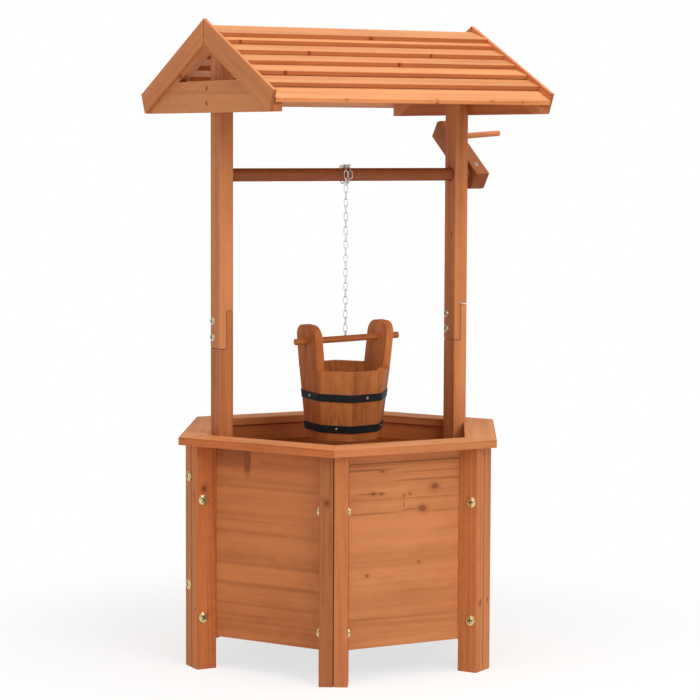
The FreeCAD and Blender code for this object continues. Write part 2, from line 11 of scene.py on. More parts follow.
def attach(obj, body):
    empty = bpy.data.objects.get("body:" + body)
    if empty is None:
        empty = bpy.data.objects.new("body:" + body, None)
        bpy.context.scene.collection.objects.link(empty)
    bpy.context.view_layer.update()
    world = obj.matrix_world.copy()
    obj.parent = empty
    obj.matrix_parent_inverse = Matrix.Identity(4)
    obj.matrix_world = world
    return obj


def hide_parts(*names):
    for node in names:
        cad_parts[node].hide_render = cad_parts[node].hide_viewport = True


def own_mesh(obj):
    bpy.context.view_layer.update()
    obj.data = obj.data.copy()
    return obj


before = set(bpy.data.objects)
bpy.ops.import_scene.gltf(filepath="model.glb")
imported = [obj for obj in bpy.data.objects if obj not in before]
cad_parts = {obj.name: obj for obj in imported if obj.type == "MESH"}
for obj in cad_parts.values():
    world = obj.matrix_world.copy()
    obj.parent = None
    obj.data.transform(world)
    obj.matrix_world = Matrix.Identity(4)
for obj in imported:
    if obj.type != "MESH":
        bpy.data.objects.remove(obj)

log = logging.getLogger("planter")

MM = 0.001


class Body(Enum):
    """The moving groups that the new pieces ride on."""

    PLANTER = "planter"
    WINCH = "winch"
    CHAIN = "chain"


class Slot(Enum):
    """The record's finishes named for the new pieces."""

    YELLOW_ZINC = "yellow_zinc"
    BRIGHT_ZINC = "bright_zinc"
    CHAIN_STEEL = "chain_steel"


@dataclass(frozen=True)
class Layout:
    """Sizes that more than one sub-assembly uses, in metres, about the well's upright middle line."""

    middle_x: float = -34.02553 * MM
    leg_outer_radius: float = 292.0 * MM
    leg_board_width: float = 24.5 * MM
    panel_apothem: float = 227.8 * MM
    rim_apothem: float = 246.2 * MM
    rim_top: float = 404.0 * MM
    post_outer: float = 246.55 * MM
    post_inner: float = 220.55 * MM
    gable_outer: float = 262.05 * MM
    axle_height: float = 853.5 * MM
    chain_radius: float = 14.847 * MM
    wound_links: int = 14
    links_per_turn: int = 8
    strand_spacing: float = 9.0 * MM
    roof_pitch: float = math.radians(24.8)
    arm_angle: float = math.radians(35.6)

    def at(self, x: float, y: float, z: float) -> Vector:
        """A point given about the well's middle line, in the planter's own frame."""
        return Vector((x + self.middle_x, y, z))


LAYOUT = Layout()

# X runs along the ridge and the axle to the crank, Y to the back
RIGHT = Vector((1.0, 0.0, 0.0))
BACK = Vector((0.0, 1.0, 0.0))
UP = Vector((0.0, 0.0, 1.0))


class Graph:
    """A thin writer of shader nodes."""

    # Where a Mix node has its colour inputs and its colour result
    MIX_FIRST = 6
    MIX_SECOND = 7
    MIX_RESULT = 2

    def __init__(self, tree: bpy.types.NodeTree) -> None:
        """Start on a tree whose old nodes are cleared.

        Args:
            tree: The node tree to fill.
        """
        self.tree = tree
        tree.nodes.clear()

    def node(self, kind: str, **settings: object) -> bpy.types.Node:
        """Add a node.

        Args:
            kind: Blender's name of the node type.
            settings: Properties to set on it.

        Returns:
            The new node.
        """
        made = self.tree.nodes.new(kind)
        for key, value in settings.items():
            setattr(made, key, value)
        return made

    def join(self, source: object, target: bpy.types.NodeSocket) -> None:
        """Link a socket, or set a plain value, on a target socket.

        Args:
            source: The socket or the value.
            target: The socket that takes it.
        """
        if isinstance(source, bpy.types.NodeSocket):
            self.tree.links.new(source, target)
        else:
            target.default_value = source

    def math(self, operation: str, *values: object, clamp: bool = False) -> bpy.types.NodeSocket:
        """Add a Math node.

        Args:
            operation: The Math operation.
            values: Sockets or numbers for its inputs.
            clamp: Whether the result is held between 0 and 1.

        Returns:
            The result.
        """
        made = self.node("ShaderNodeMath", operation=operation, use_clamp=clamp)
        for socket, value in zip(made.inputs, values):
            self.join(value, socket)
        return made.outputs[0]

    def vector(self, operation: str, *values: object) -> bpy.types.Node:
        """Add a Vector Math node.

        Args:
            operation: The Vector Math operation.
            values: Sockets, vectors or numbers for its inputs.

        Returns:
            The node, whose first output is a vector and second a value.
        """
        made = self.node("ShaderNodeVectorMath", operation=operation)
        for socket, value in zip(made.inputs, values):
            self.join(value, socket)
        return made

    def parts(self, vector: object) -> tuple[bpy.types.NodeSocket, ...]:
        """Take a vector apart.

        Args:
            vector: The vector socket.

        Returns:
            Its X, Y and Z.
        """
        made = self.node("ShaderNodeSeparateXYZ")
        self.join(vector, made.inputs[0])
        return tuple(made.outputs)

    def combine(self, x: object, y: object, z: object) -> bpy.types.NodeSocket:
        """Put a vector together.

        Args:
            x: Its X, a socket or a number.
            y: Its Y.
            z: Its Z.

        Returns:
            The vector.
        """
        made = self.node("ShaderNodeCombineXYZ")
        for socket, value in zip(made.inputs, (x, y, z)):
            self.join(value, socket)
        return made.outputs[0]

    def smooth(self, value: object, low: float, high: float, start: float = 0.0,
               end: float = 1.0) -> bpy.types.NodeSocket:
        """A smooth step.

        Args:
            value: The socket to read.
            low: The value at which the step begins.
            high: The value at which it ends.
            start: The result below the step.
            end: The result above it.

        Returns:
            The stepped value.
        """
        made = self.node("ShaderNodeMapRange", interpolation_type="SMOOTHSTEP")
        for socket, number in zip(made.inputs, (value, low, high, start, end)):
            self.join(number, socket)
        return made.outputs[0]

    def blend(self, factor: object, first: object, second: object, mode: str = "MIX") -> bpy.types.NodeSocket:
        """Mix two colours.

        Args:
            factor: How much of the second colour shows.
            first: The first colour.
            second: The second colour.
            mode: The blend mode.

        Returns:
            The mixed colour.
        """
        made = self.node("ShaderNodeMix", data_type="RGBA", blend_type=mode)
        self.join(factor, made.inputs[0])
        self.join(first, made.inputs[self.MIX_FIRST])
        self.join(second, made.inputs[self.MIX_SECOND])
        return made.outputs[self.MIX_RESULT]

    def noise(self, vector: object, scale: float, detail: float,
              roughness: float = 0.5) -> bpy.types.NodeSocket:
        """A noise value.

        Args:
            vector: Where it is read.
            scale: Features per unit.
            detail: Octaves.
            roughness: How strong the finer octaves are.

        Returns:
            The noise, about 0.5 on average.
        """
        made = self.node("ShaderNodeTexNoise")
        self.join(vector, made.inputs["Vector"])
        made.inputs["Scale"].default_value = scale
        made.inputs["Detail"].default_value = detail
        made.inputs["Roughness"].default_value = roughness
        return made.outputs[0]

    def stretched(self, along: object, y: object, z: object, scale: float, detail: float,
                  roughness: float = 0.5) -> bpy.types.NodeSocket:
        """A noise that is drawn out along the grain: the first value is already scaled, the others aren't."""
        spot = self.combine(along, self.math("MULTIPLY", y, scale), self.math("MULTIPLY", z, scale))
        return self.noise(spot, 1.0, detail, roughness)

    def off_centre(self, value: object) -> bpy.types.NodeSocket:
        """A noise less its average, so that it is about 0."""
        return self.math("SUBTRACT", value, 0.5)

    def length(self, x: object, y: object) -> bpy.types.NodeSocket:
        """The root of x squared and y squared."""
        return self.math("SQRT", self.math("ADD", self.math("MULTIPLY", x, x), self.math("MULTIPLY", y, y)))

    def surface(self, colour: object, roughness: object, height: object, strength: float, depth: float,
                specular: float, metallic: float = 0.0) -> None:
        """End a material in a Principled shader with a bumped surface.

        Args:
            colour: The base colour.
            roughness: The roughness.
            height: The bump's height, 0 to 1.
            strength: The bump's strength.
            depth: What a height of 1 stands for, in metres.
            specular: The shader's specular level.
            metallic: How metallic it is.
        """
        bump = self.node("ShaderNodeBump")
        bump.inputs["Strength"].default_value = strength
        bump.inputs["Distance"].default_value = depth
        self.join(height, bump.inputs["Height"])
        shader = self.node("ShaderNodeBsdfPrincipled")
        shader.inputs["Metallic"].default_value = metallic
        shader.inputs["Specular IOR Level"].default_value = specular
        self.join(colour, shader.inputs["Base Color"])
        self.join(roughness, shader.inputs["Roughness"])
        self.join(bump.outputs["Normal"], shader.inputs["Normal"])
        self.join(shader.outputs[0], self.node("ShaderNodeOutputMaterial").inputs[0])

    def two_shaders(self, factor: object, first: bpy.types.Node, second: bpy.types.Node, output: str) -> None:
        """End a tree in a mix of two shaders.

        Args:
            factor: How much of the second shows.
            first: The first shader.
            second: The second shader.
            output: Blender's name of the output node's type.
        """
        mixed = self.node("ShaderNodeMixShader")
        for source, socket in zip((factor, first.outputs[0], second.outputs[0]), mixed.inputs):
            self.join(source, socket)
        self.join(mixed.outputs[0], self.node(output).inputs[0])


Colour = tuple[float, float, float, float]


@dataclass(frozen=True)
class Knot:
    """One knot: its place along and across a board from the board's middle, and its radius.

    stretch is how many times longer than wide it is. board is the one it lies in: of two boards that meet in
    the middle, -1 is the one against the across direction and 0 the other. A knot on_edge runs the other way,
    and its across is counted through the board.
    """

    along: float
    across: float
    radius: float
    stretch: float = 1.3
    board: int = 0
    on_edge: bool = False


@dataclass(frozen=True)
class Streak:
    """A darker line, in the grain, at a joint or as a painted shadow: its place across the board, half its
    width, its depth and where it runs.

    fade is half the length that each end fades over, and board the one that it lies in, as a knot's is.
    A streak on_edge is placed through the board instead of across it.
    """

    across: float
    half_width: float
    depth: float
    start: float = -1.0
    end: float = 1.0
    fade: float = 0.03
    board: int = 0
    on_edge: bool = False


@dataclass(frozen=True)
class Stain:
    """A stained softwood: colours of early wood, late wood and knots, its sawn ends' tint and its gloss."""

    early: Colour
    late: Colour
    knot: Colour = (0.260, 0.072, 0.018, 1.0)
    end: Colour = (0.62, 0.52, 0.46, 1.0)
    specular: float = 0.3
    roughness: float = 0.56
    ring_spacing: float = 5.2 * MM


DARK_KNOT = (0.12, 0.035, 0.012, 1.0)

HONEY = Stain(early=(0.600, 0.226, 0.080, 1.0), late=(0.440, 0.142, 0.041, 1.0))
PANEL_STAIN = Stain(early=(0.630, 0.238, 0.085, 1.0), late=(0.450, 0.152, 0.046, 1.0), ring_spacing=7.0 * MM)
ROOF_STAIN = Stain(early=(0.640, 0.268, 0.108, 1.0), late=(0.490, 0.186, 0.066, 1.0), ring_spacing=6.0 * MM)
BUCKET_STAIN = Stain(early=(0.540, 0.178, 0.048, 1.0), late=(0.300, 0.080, 0.017, 1.0),
                     end=(1.12, 1.05, 0.95, 1.0), ring_spacing=4.0 * MM)
DARK_STAIN = Stain(early=(0.290, 0.080, 0.020, 1.0), late=(0.200, 0.050, 0.012, 1.0), knot=DARK_KNOT)
FLOOR_STAIN = Stain(early=(0.285, 0.062, 0.0075, 1.0), late=(0.195, 0.040, 0.0045, 1.0), knot=DARK_KNOT,
                    specular=0.1, roughness=0.62)


@dataclass(frozen=True)
class Board:
    """How a board lies: its grain direction, the direction across its broad face, and its middle.

    pitch and phase part a node of several boards: boards lie side by side along the across direction,
    pitch apart, with a joint at every whole pitch when phase is 0 and at every half pitch when it is 0.5.
    tones are the brightness of the boards below and above the middle. coats is the depth of the stain.
    inner_shade_coats is its depth further than inner_depth from the middle, against grain cross across:
    painted shade on the inner faces. edge_shading_coats is its depth on the narrow edges, which face along
    the across direction and
    have the brightness edge_shading: painted shade on those faces where edge_shading is below 1 and painted
    light where it is above 1. Either depth is 0 where it is the same. figure is the strength of the growth
    rings, streakiness of the long lines and cloud of the broad patches. seam is half the width of a dark line
    at the object's Y = 0, and joint of one along the middle, where two boards meet.
    """

    grain: Vector
    across: Vector
    middle: Vector
    seed: float
    pitch: float = 9.0
    phase: float = 0.5
    knots: tuple[Knot, ...] = ()
    streaks: tuple[Streak, ...] = ()
    knot_share: float = 0.3
    knot_spread: float = 1.0
    tones: tuple[float, float] = (1.0, 1.0)
    coats: float = 1.0
    inner_shade_coats: float = 0.0
    edge_shading_coats: float = 0.0
    edge_shading: float = 1.0
    figure: float = 0.85
    streakiness: float = 1.1
    cloud: float = 1.0
    inner_depth: float = 7.0 * MM
    seam: float = 0.0
    joint: float = 0.0


@dataclass(frozen=True)
class Ripple:
    """A noise drawn out along the grain: its features per metre along and over it, and its octaves."""

    along: float
    over: float
    detail: float
    roughness: float = 0.5


Step = tuple[float, float, float, float]


class FirGrain:
    """The grain of stained fir, shared by every board as one node group.

    Growth rings are cylinders about a pith line that runs nearly along the grain beside each board,
    with a slow wave and rings of uneven width, so faces show long lines and arches, and ends show arcs.
    """

    FLOATS = ("Seed", "Spacing", "Figure", "Streakiness", "Cloud", "Knot share", "Knot spread",
              "Placed knots", "Streaks", "Tone", "Coats", "Gloss", "End grain")
    COLOURS = ("Early", "Late", "Knot", "End")

    SEED_SHIFT = 3.7
    SEED_PER_BOARD = 1.37
    WAVE = Ripple(1.3, 9.0, 2.0)
    STREAK = Ripple(1.3, 60.0, 3.0, 0.6)
    FIBRE = Ripple(22.0, 800.0, 2.0, 0.6)
    CLOUD = Ripple(5.0, 12.0, 3.0)
    BLOTCH = Ripple(45.0, 90.0, 2.0)

    # The pith line, in metres: how far it strays across a board, its nearest place under the board and how
    # much deeper it may lie, and how far it strays in each metre along
    PITH_ACROSS = 0.10
    PITH_NEAREST = -0.012
    PITH_DEEPER = -0.05
    PITH_SLOPE = 0.09
    WAVE_SWAY = 0.030

    # How much blotches and fibres fray a knot's outline, and how fast the rings straighten away from it
    KNOT_BLOTCH = 1.3
    KNOT_FIBRE = 0.5
    KNOT_SWELL = -0.22

    # Scattered knots: cells per metre along and across, how much longer than wide the knots are, their least
    # radius and what a larger one may add, in metres. NO_KNOT is a distance, in radii, at which none shows.
    CELLS_ALONG = 3.2
    CELLS_ACROSS = 9.0
    KNOT_STRETCH = 1.6
    KNOT_RADIUS = 0.0018
    KNOT_EXTRA = 0.0036
    NO_KNOT = 50.0
    NO_PLACED_KNOT = 60.0

    # Smooth steps: where each begins and ends, and its value before and after
    RING_STEP: Step = (0.46, 0.66, 0.0, 1.0)
    FIGURE_STEP: Step = (-0.2, 0.2, 0.20, 0.60)
    HALO_STEP: Step = (0.9, 2.6, 0.75, 0.0)
    CORE_STEP: Step = (0.55, 1.15, 0.9, 0.0)
    STREAK_TONE_STEP: Step = (0.0, 1.4, 1.0, 0.66)
    EDGE_STEP: Step = (0.55, 0.80, 0.0, 1.0)
    END_STEP: Step = (0.75, 0.95, 0.0, 1.0)

    # Shares of the late wood's colour, of the tone, of the gloss and of the bump's height
    LATE_EVERYWHERE = 0.26
    LATE_BY_FIBRE = 0.50
    LATE_BY_BLOTCH = 0.50
    TONE_BY_BOARD = 0.10
    GLOSS_BY_FIBRE = 0.22
    GLOSS_AT_ENDS = 0.15
    HEIGHT_OF_RINGS = 0.3
    HEIGHT_OF_FIBRE = 0.5
    HEIGHT_OF_KNOTS = -0.5

    # The dark lines of a seam and of a joint: the share of their width that is darkest, and how dark
    LINE_CORE = 0.4
    SEAM_DARK = 0.6
    JOINT_TONE = 0.55

    BUMP_STRENGTH = 0.3
    BUMP_DEPTH = 0.3 * MM
    STAVE_TURN = math.pi / 4
    STAVE_RADIUS = 0.06

    def __init__(self) -> None:
        """Build the group once."""
        self.group = bpy.data.node_groups.new("fir_grain", "ShaderNodeTree")
        face = self.group.interface
        face.new_socket(name="Vector", in_out="INPUT", socket_type="NodeSocketVector")
        for name in self.FLOATS:
            face.new_socket(name=name, in_out="INPUT", socket_type="NodeSocketFloat")
        for name in self.COLOURS:
            face.new_socket(name=name, in_out="INPUT", socket_type="NodeSocketColor")
        face.new_socket(name="Color", in_out="OUTPUT", socket_type="NodeSocketColor")
        for name in ("Roughness", "Height"):
            face.new_socket(name=name, in_out="OUTPUT", socket_type="NodeSocketFloat")
        self._fill(Graph(self.group))

    def _fill(self, g: Graph) -> None:
        """Write the group's nodes.

        Args:
            g: The writer of the group's tree.
        """
        given = g.node("NodeGroupInput").outputs
        x, y, z = g.parts(given["Vector"])
        seed = given["Seed"]
        dice = g.node("ShaderNodeTexWhiteNoise", noise_dimensions="1D")
        g.join(seed, dice.inputs["W"])
        first, second, third = g.parts(dice.outputs["Color"])

        shift = g.math("MULTIPLY", seed, self.SEED_SHIFT)
        wave, streak, fibre, cloud, blotch = (
            g.off_centre(g.stretched(g.math("MULTIPLY_ADD", x, ripple.along, shift), y, z, ripple.over,
                                     ripple.detail, ripple.roughness))
            for ripple in (self.WAVE, self.STREAK, self.FIBRE, self.CLOUD, self.BLOTCH))

        scattered, radius = self._scattered_knots(g, given, x, y, shift)
        near = g.math("MINIMUM", scattered, given["Placed knots"])
        near = g.math("MULTIPLY_ADD", blotch, self.KNOT_BLOTCH, near)
        near = g.math("MULTIPLY_ADD", fibre, self.KNOT_FIBRE, near)
        swell = g.math("EXPONENT", g.math("MULTIPLY", g.math("POWER", near, 2.0), self.KNOT_SWELL))
        bulge = g.math("MULTIPLY", swell, radius)

        slope = g.math("MULTIPLY", g.off_centre(third), self.PITH_SLOPE)
        pith_y = g.math("MULTIPLY_ADD", g.off_centre(first), self.PITH_ACROSS, g.math("MULTIPLY", x, slope))
        pith_z = g.math("MULTIPLY_ADD", second, self.PITH_DEEPER, self.PITH_NEAREST)
        from_pith = g.length(g.math("SUBTRACT", y, pith_y), g.math("SUBTRACT", z, pith_z))
        distance = g.math("ADD", from_pith, g.math("MULTIPLY_ADD", wave, self.WAVE_SWAY, bulge))
        growth = g.node("ShaderNodeTexNoise", noise_dimensions="1D")
        g.join(g.math("ADD", g.math("DIVIDE", distance, given["Spacing"]), seed), growth.inputs["W"])
        growth.inputs["Scale"].default_value = 1.0
        growth.inputs["Detail"].default_value = 3.0
        growth.inputs["Roughness"].default_value = 0.6
        rings = g.smooth(growth.outputs[0], *self.RING_STEP)

        figure = g.math("MULTIPLY", g.smooth(streak, *self.FIGURE_STEP), given["Figure"])
        depth = g.math("MULTIPLY_ADD", rings, figure, self.LATE_EVERYWHERE)
        for part, weight in ((streak, given["Streakiness"]), (fibre, self.LATE_BY_FIBRE),
                             (cloud, given["Cloud"]), (blotch, self.LATE_BY_BLOTCH)):
            depth = g.math("MULTIPLY_ADD", part, weight, depth)
        depth = g.math("ADD", depth, given["Streaks"], clamp=True)
        colour = g.blend(depth, given["Early"], given["Late"])

        halo = g.smooth(near, *self.HALO_STEP)
        colour = g.blend(halo, colour, given["Late"])
        core = g.smooth(near, *self.CORE_STEP)
        colour = g.blend(core, colour, given["Knot"])
        stained = g.node("ShaderNodeGamma")
        g.join(colour, stained.inputs["Color"])
        g.join(given["Coats"], stained.inputs["Gamma"])
        tone = g.math("MULTIPLY_ADD", g.off_centre(second), self.TONE_BY_BOARD, given["Tone"])
        tone = g.math("MULTIPLY", tone, g.smooth(given["Streaks"], *self.STREAK_TONE_STEP))
        colour = g.blend(1.0, stained.outputs[0], g.combine(tone, tone, tone), "MULTIPLY")
        sawn = g.blend(1.0, colour, given["End"], "MULTIPLY")
        colour = g.blend(given["End grain"], colour, sawn)

        gloss = g.math("MULTIPLY_ADD", fibre, self.GLOSS_BY_FIBRE, given["Gloss"])
        gloss = g.math("MULTIPLY_ADD", given["End grain"], self.GLOSS_AT_ENDS, gloss)
        height = g.math("MULTIPLY", fibre, self.HEIGHT_OF_FIBRE)
        height = g.math("MULTIPLY_ADD", rings, self.HEIGHT_OF_RINGS, height)
        height = g.math("MULTIPLY_ADD", core, self.HEIGHT_OF_KNOTS, height)

        out = g.node("NodeGroupOutput")
        g.join(colour, out.inputs["Color"])
        g.join(gloss, out.inputs["Roughness"])
        g.join(height, out.inputs["Height"])

    def _scattered_knots(self, g: Graph, given: bpy.types.bpy_prop_collection, x: object, y: object,
                         shift: object) -> tuple[object, object]:
        """Scattered knots: one feature point per cell, of which a share is a knot.

        Args:
            g: The writer of the group's tree.
            given: The group's inputs.
            x: The place along the grain.
            y: The place across the board.
            shift: How far the board's seed moves the cells.

        Returns:
            The distance to the nearest one in its own radii, and the radius that the rings swell by.
        """
        spread = given["Knot spread"]
        along = g.math("MULTIPLY", g.math("ADD", x, shift), g.math("MULTIPLY", spread, self.CELLS_ALONG))
        over = g.math("MULTIPLY", g.math("ADD", y, shift), g.math("MULTIPLY", spread, self.CELLS_ACROSS))
        cells = g.node("ShaderNodeTexVoronoi", voronoi_dimensions="2D", feature="F1")
        here = g.combine(along, over, 0.0)
        g.join(here, cells.inputs["Vector"])
        cells.inputs["Scale"].default_value = 1.0
        offset = g.vector("SUBTRACT", here, cells.outputs["Position"]).outputs[0]
        off_x, off_y, _ = g.parts(offset)
        off_x = g.math("DIVIDE", off_x, g.math("MULTIPLY", spread, self.CELLS_ALONG * self.KNOT_STRETCH))
        off_y = g.math("DIVIDE", off_y, g.math("MULTIPLY", spread, self.CELLS_ACROSS))
        away = g.length(off_x, off_y)
        pick, size, _ = g.parts(cells.outputs["Color"])
        radius = g.math("MULTIPLY_ADD", size, self.KNOT_EXTRA, self.KNOT_RADIUS)
        absent = g.math("GREATER_THAN", pick, given["Knot share"])
        return g.math("ADD", g.math("DIVIDE", away, radius), g.math("MULTIPLY", absent, self.NO_KNOT)), radius

    def material(self, name: str, stain: Stain, board: Board, staves: bool = False) -> bpy.types.Material:
        """A board's own material.

        Args:
            name: The material's name.
            stain: The finish.
            board: How the board lies.
            staves: Whether the boards stand in a ring round the middle, one to each eighth of a turn.

        Returns:
            The material.
        """
        made = bpy.data.materials.new(name)
        made.use_nodes = True
        g = Graph(made.node_tree)
        coordinates = g.node("ShaderNodeTexCoord")
        through = board.grain.cross(board.across).normalized()
        turn = Matrix((board.grain, board.across, through))
        spot = g.node("ShaderNodeMapping", vector_type="POINT")
        g.join(coordinates.outputs["Object"], spot.inputs["Vector"])
        spot.inputs["Rotation"].default_value = turn.to_euler("XYZ")
        spot.inputs["Location"].default_value = -(turn @ board.middle)
        x, y, z = g.parts(spot.outputs["Vector"])
        from_middle = y
        if staves:
            index, y, z = self._round(g, y, z)
        else:
            index = g.math("FLOOR", g.math("ADD", g.math("DIVIDE", y, board.pitch), board.phase))
            centre = g.math("MULTIPLY", g.math("ADD", index, 0.5 - board.phase), board.pitch)
            y = g.math("SUBTRACT", y, centre)
        grain = g.node("ShaderNodeGroup", node_tree=self.group)
        g.join(g.combine(x, y, z), grain.inputs["Vector"])
        g.join(g.math("MULTIPLY_ADD", index, self.SEED_PER_BOARD, board.seed), grain.inputs["Seed"])
        for socket, value in (("Spacing", stain.ring_spacing), ("Figure", board.figure),
                              ("Cloud", board.cloud), ("Streakiness", board.streakiness),
                              ("Knot share", board.knot_share), ("Knot spread", board.knot_spread),
                              ("Early", stain.early), ("Late", stain.late), ("Knot", stain.knot),
                              ("End", stain.end), ("Gloss", stain.roughness)):
            grain.inputs[socket].default_value = value
        g.join(self._placed_knots(g, board, index, x, y, z), grain.inputs["Placed knots"])
        g.join(self._placed_streaks(g, board, index, x, y, z), grain.inputs["Streaks"])
        first = g.math("LESS_THAN", index, -0.5)
        tone = g.math("MULTIPLY_ADD", first, board.tones[0] - board.tones[1], board.tones[1])
        # Painted shade: the stain is deeper on the faces towards the inside, which lie in shade.
        inner_shade_coats = board.inner_shade_coats or board.coats
        coats = g.smooth(z, -board.inner_depth - MM, -board.inner_depth + MM, inner_shade_coats, board.coats)
        # Painted light and shade: the narrow edges get their own stain depth and brightness, for how light
        # falls on them.
        if board.edge_shading_coats:
            edge = g.vector("DOT_PRODUCT", coordinates.outputs["Normal"], tuple(board.across)).outputs[1]
            edge = g.smooth(g.math("ABSOLUTE", edge), *self.EDGE_STEP)
            coats = g.math("MULTIPLY_ADD", edge, board.edge_shading_coats - board.coats, coats)
            tone = g.math("MULTIPLY", tone, g.math("MULTIPLY_ADD", edge, board.edge_shading - 1.0, 1.0))
        g.join(coats, grain.inputs["Coats"])
        if board.seam:
            beside = g.math("ABSOLUTE", g.parts(coordinates.outputs["Object"])[1])
            dark = g.smooth(beside, self.LINE_CORE * board.seam, board.seam, self.SEAM_DARK, 0.0)
            tone = g.math("SUBTRACT", tone, dark)
        if board.joint:
            beside = g.math("ABSOLUTE", from_middle)
            dark = g.smooth(beside, self.LINE_CORE * board.joint, board.joint, self.JOINT_TONE, 1.0)
            tone = g.math("MULTIPLY", tone, dark)
        g.join(tone, grain.inputs["Tone"])
        facing = g.vector("DOT_PRODUCT", coordinates.outputs["Normal"], tuple(board.grain)).outputs[1]
        g.join(g.smooth(g.math("ABSOLUTE", facing), *self.END_STEP), grain.inputs["End grain"])
        g.surface(grain.outputs["Color"], grain.outputs["Roughness"], grain.outputs["Height"],
                  self.BUMP_STRENGTH, self.BUMP_DEPTH, stain.specular)
        return made

    def _round(self, g: Graph, y: object, z: object) -> tuple[object, object, object]:
        """Staves in a ring.

        Args:
            g: The writer of the material's tree.
            y: The place along one direction across the ring.
            z: The place along the other.

        Returns:
            The eighth of a turn the place is in, and its place across and through that stave.
        """
        angle = g.math("ARCTAN2", z, y)
        index = g.math("FLOOR", g.math("ADD", g.math("DIVIDE", angle, self.STAVE_TURN), 0.5))
        rest = g.math("SUBTRACT", angle, g.math("MULTIPLY", index, self.STAVE_TURN))
        radius = g.length(y, z)
        over = g.math("MULTIPLY", radius, g.math("SINE", rest))
        through = g.math("MULTIPLY", radius, g.math("COSINE", rest))
        return index, over, g.math("SUBTRACT", through, self.STAVE_RADIUS)

    def _placed_knots(self, g: Graph, board: Board, index: object, x: object, y: object, z: object) -> object:
        """The nearest placed knot.

        Args:
            g: The writer of the material's tree.
            board: How the board lies, with its knots.
            index: The board that the place is in.
            x: The place along the grain.
            y: The place across the board.
            z: The place through the board.

        Returns:
            The distance to the nearest one, in its own radii.
        """
        nearest: object = self.NO_PLACED_KNOT
        for knot in board.knots:
            off_x = g.math("DIVIDE", g.math("SUBTRACT", x, knot.along), knot.stretch * knot.radius)
            off_y = g.math("DIVIDE", g.math("SUBTRACT", z if knot.on_edge else y, knot.across), knot.radius)
            away = g.length(off_x, off_y)
            other = g.math("ABSOLUTE", g.math("SUBTRACT", index, float(knot.board)))
            nearest = g.math("MINIMUM", g.math("MULTIPLY_ADD", other, self.NO_KNOT, away), nearest)
        return nearest

    @staticmethod
    def _placed_streaks(g: Graph, board: Board, index: object, x: object, y: object, z: object) -> object:
        """The placed streaks: each a bell curve across, faded out at both of its ends.

        Args:
            g: The writer of the material's tree.
            board: How the board lies, with its streaks.
            index: The board that the place is in.
            x: The place along the grain.
            y: The place across the board.
            z: The place through the board.

        Returns:
            The depth that they add.
        """
        total: object = 0.0
        for streak in board.streaks:
            over = z if streak.on_edge else y
            off = g.math("DIVIDE", g.math("SUBTRACT", over, streak.across), streak.half_width)
            bell = g.math("EXPONENT", g.math("MULTIPLY", g.math("MULTIPLY", off, off), -1.0))
            fade = streak.fade
            bell = g.math("MULTIPLY", bell, g.smooth(x, streak.start - fade, streak.start + fade))
            bell = g.math("MULTIPLY", bell, g.smooth(x, streak.end - fade, streak.end + fade, 1.0, 0.0))
            bell = g.math("MULTIPLY", bell, g.math("COMPARE", index, float(streak.board), 0.1))
            total = g.math("MULTIPLY_ADD", bell, streak.depth, total)
        return total


@dataclass(frozen=True)
class Metal:
    """A metal finish, faintly uneven in colour and gloss, with painted shade where a piece's recess value is
    1.

    patch_scale and fine_scale are the unevenness's features per metre.
    """

    name: str
    colour: Colour
    shade: Colour
    roughness: float
    metallic: float = 1.0
    bump: float = 0.02 * MM
    recess_shade: Colour = (0.10, 0.065, 0.03, 1.0)
    specular: float = 0.5
    patch_scale: float = 90.0
    fine_scale: float = 900.0
    detail: float = 3.0
    patch_step: tuple[float, float] = (0.35, 0.65)
    recess_shade_share: float = 0.85
    recess_roughness: float = 0.3
    uneven_gloss: float = 0.25
    bump_strength: float = 0.5

    def build(self) -> bpy.types.Material:
        """Make the finish.

        Returns:
            The material.
        """
        made = bpy.data.materials.new(self.name)
        made.use_nodes = True
        g = Graph(made.node_tree)
        spot = g.node("ShaderNodeTexCoord").outputs["Object"]
        patch = g.noise(spot, self.patch_scale, self.detail)
        fine = g.noise(spot, self.fine_scale, self.detail)
        marked = g.node("ShaderNodeAttribute", attribute_type="GEOMETRY", attribute_name="recess")
        recess = marked.outputs["Fac"]
        colour = g.blend(g.smooth(patch, *self.patch_step), self.colour, self.shade)
        # Painted shade: the cross recess is darkened, where shade falls.
        colour = g.blend(g.math("MULTIPLY", recess, self.recess_shade_share), colour, self.recess_shade)
        gloss = g.math("MULTIPLY_ADD", g.off_centre(fine), self.uneven_gloss, self.roughness)
        gloss = g.math("MULTIPLY_ADD", recess, self.recess_roughness, gloss)
        g.surface(colour, gloss, fine, self.bump_strength, self.bump, self.specular, self.metallic)
        return made


YELLOW_ZINC = Metal("yellow_zinc", (0.80, 0.64, 0.34, 1.0), (0.62, 0.48, 0.24, 1.0), 0.26)
PALE_ZINC = Metal("pale_zinc", (0.80, 0.72, 0.52, 1.0), (0.62, 0.54, 0.38, 1.0), 0.30)
BRIGHT_ZINC = Metal("bright_zinc", (0.82, 0.80, 0.76, 1.0), (0.68, 0.66, 0.62, 1.0), 0.30)
CHAIN_ZINC = Metal("chain_zinc", (0.86, 0.87, 0.88, 1.0), (0.72, 0.73, 0.74, 1.0), 0.34, 0.5)
WOUND_ZINC = Metal("wound_zinc", (0.84, 0.83, 0.80, 1.0), (0.56, 0.54, 0.50, 1.0), 0.26)
RIVET_STEEL = Metal("rivet_steel", (0.62, 0.62, 0.60, 1.0), (0.42, 0.42, 0.41, 1.0), 0.34)
BLACK_HOOP = Metal("black_hoop", (0.004, 0.009, 0.011, 1.0), (0.009, 0.015, 0.018, 1.0), 0.55, 0.0, 0.06 * MM,
                   specular=0.28)


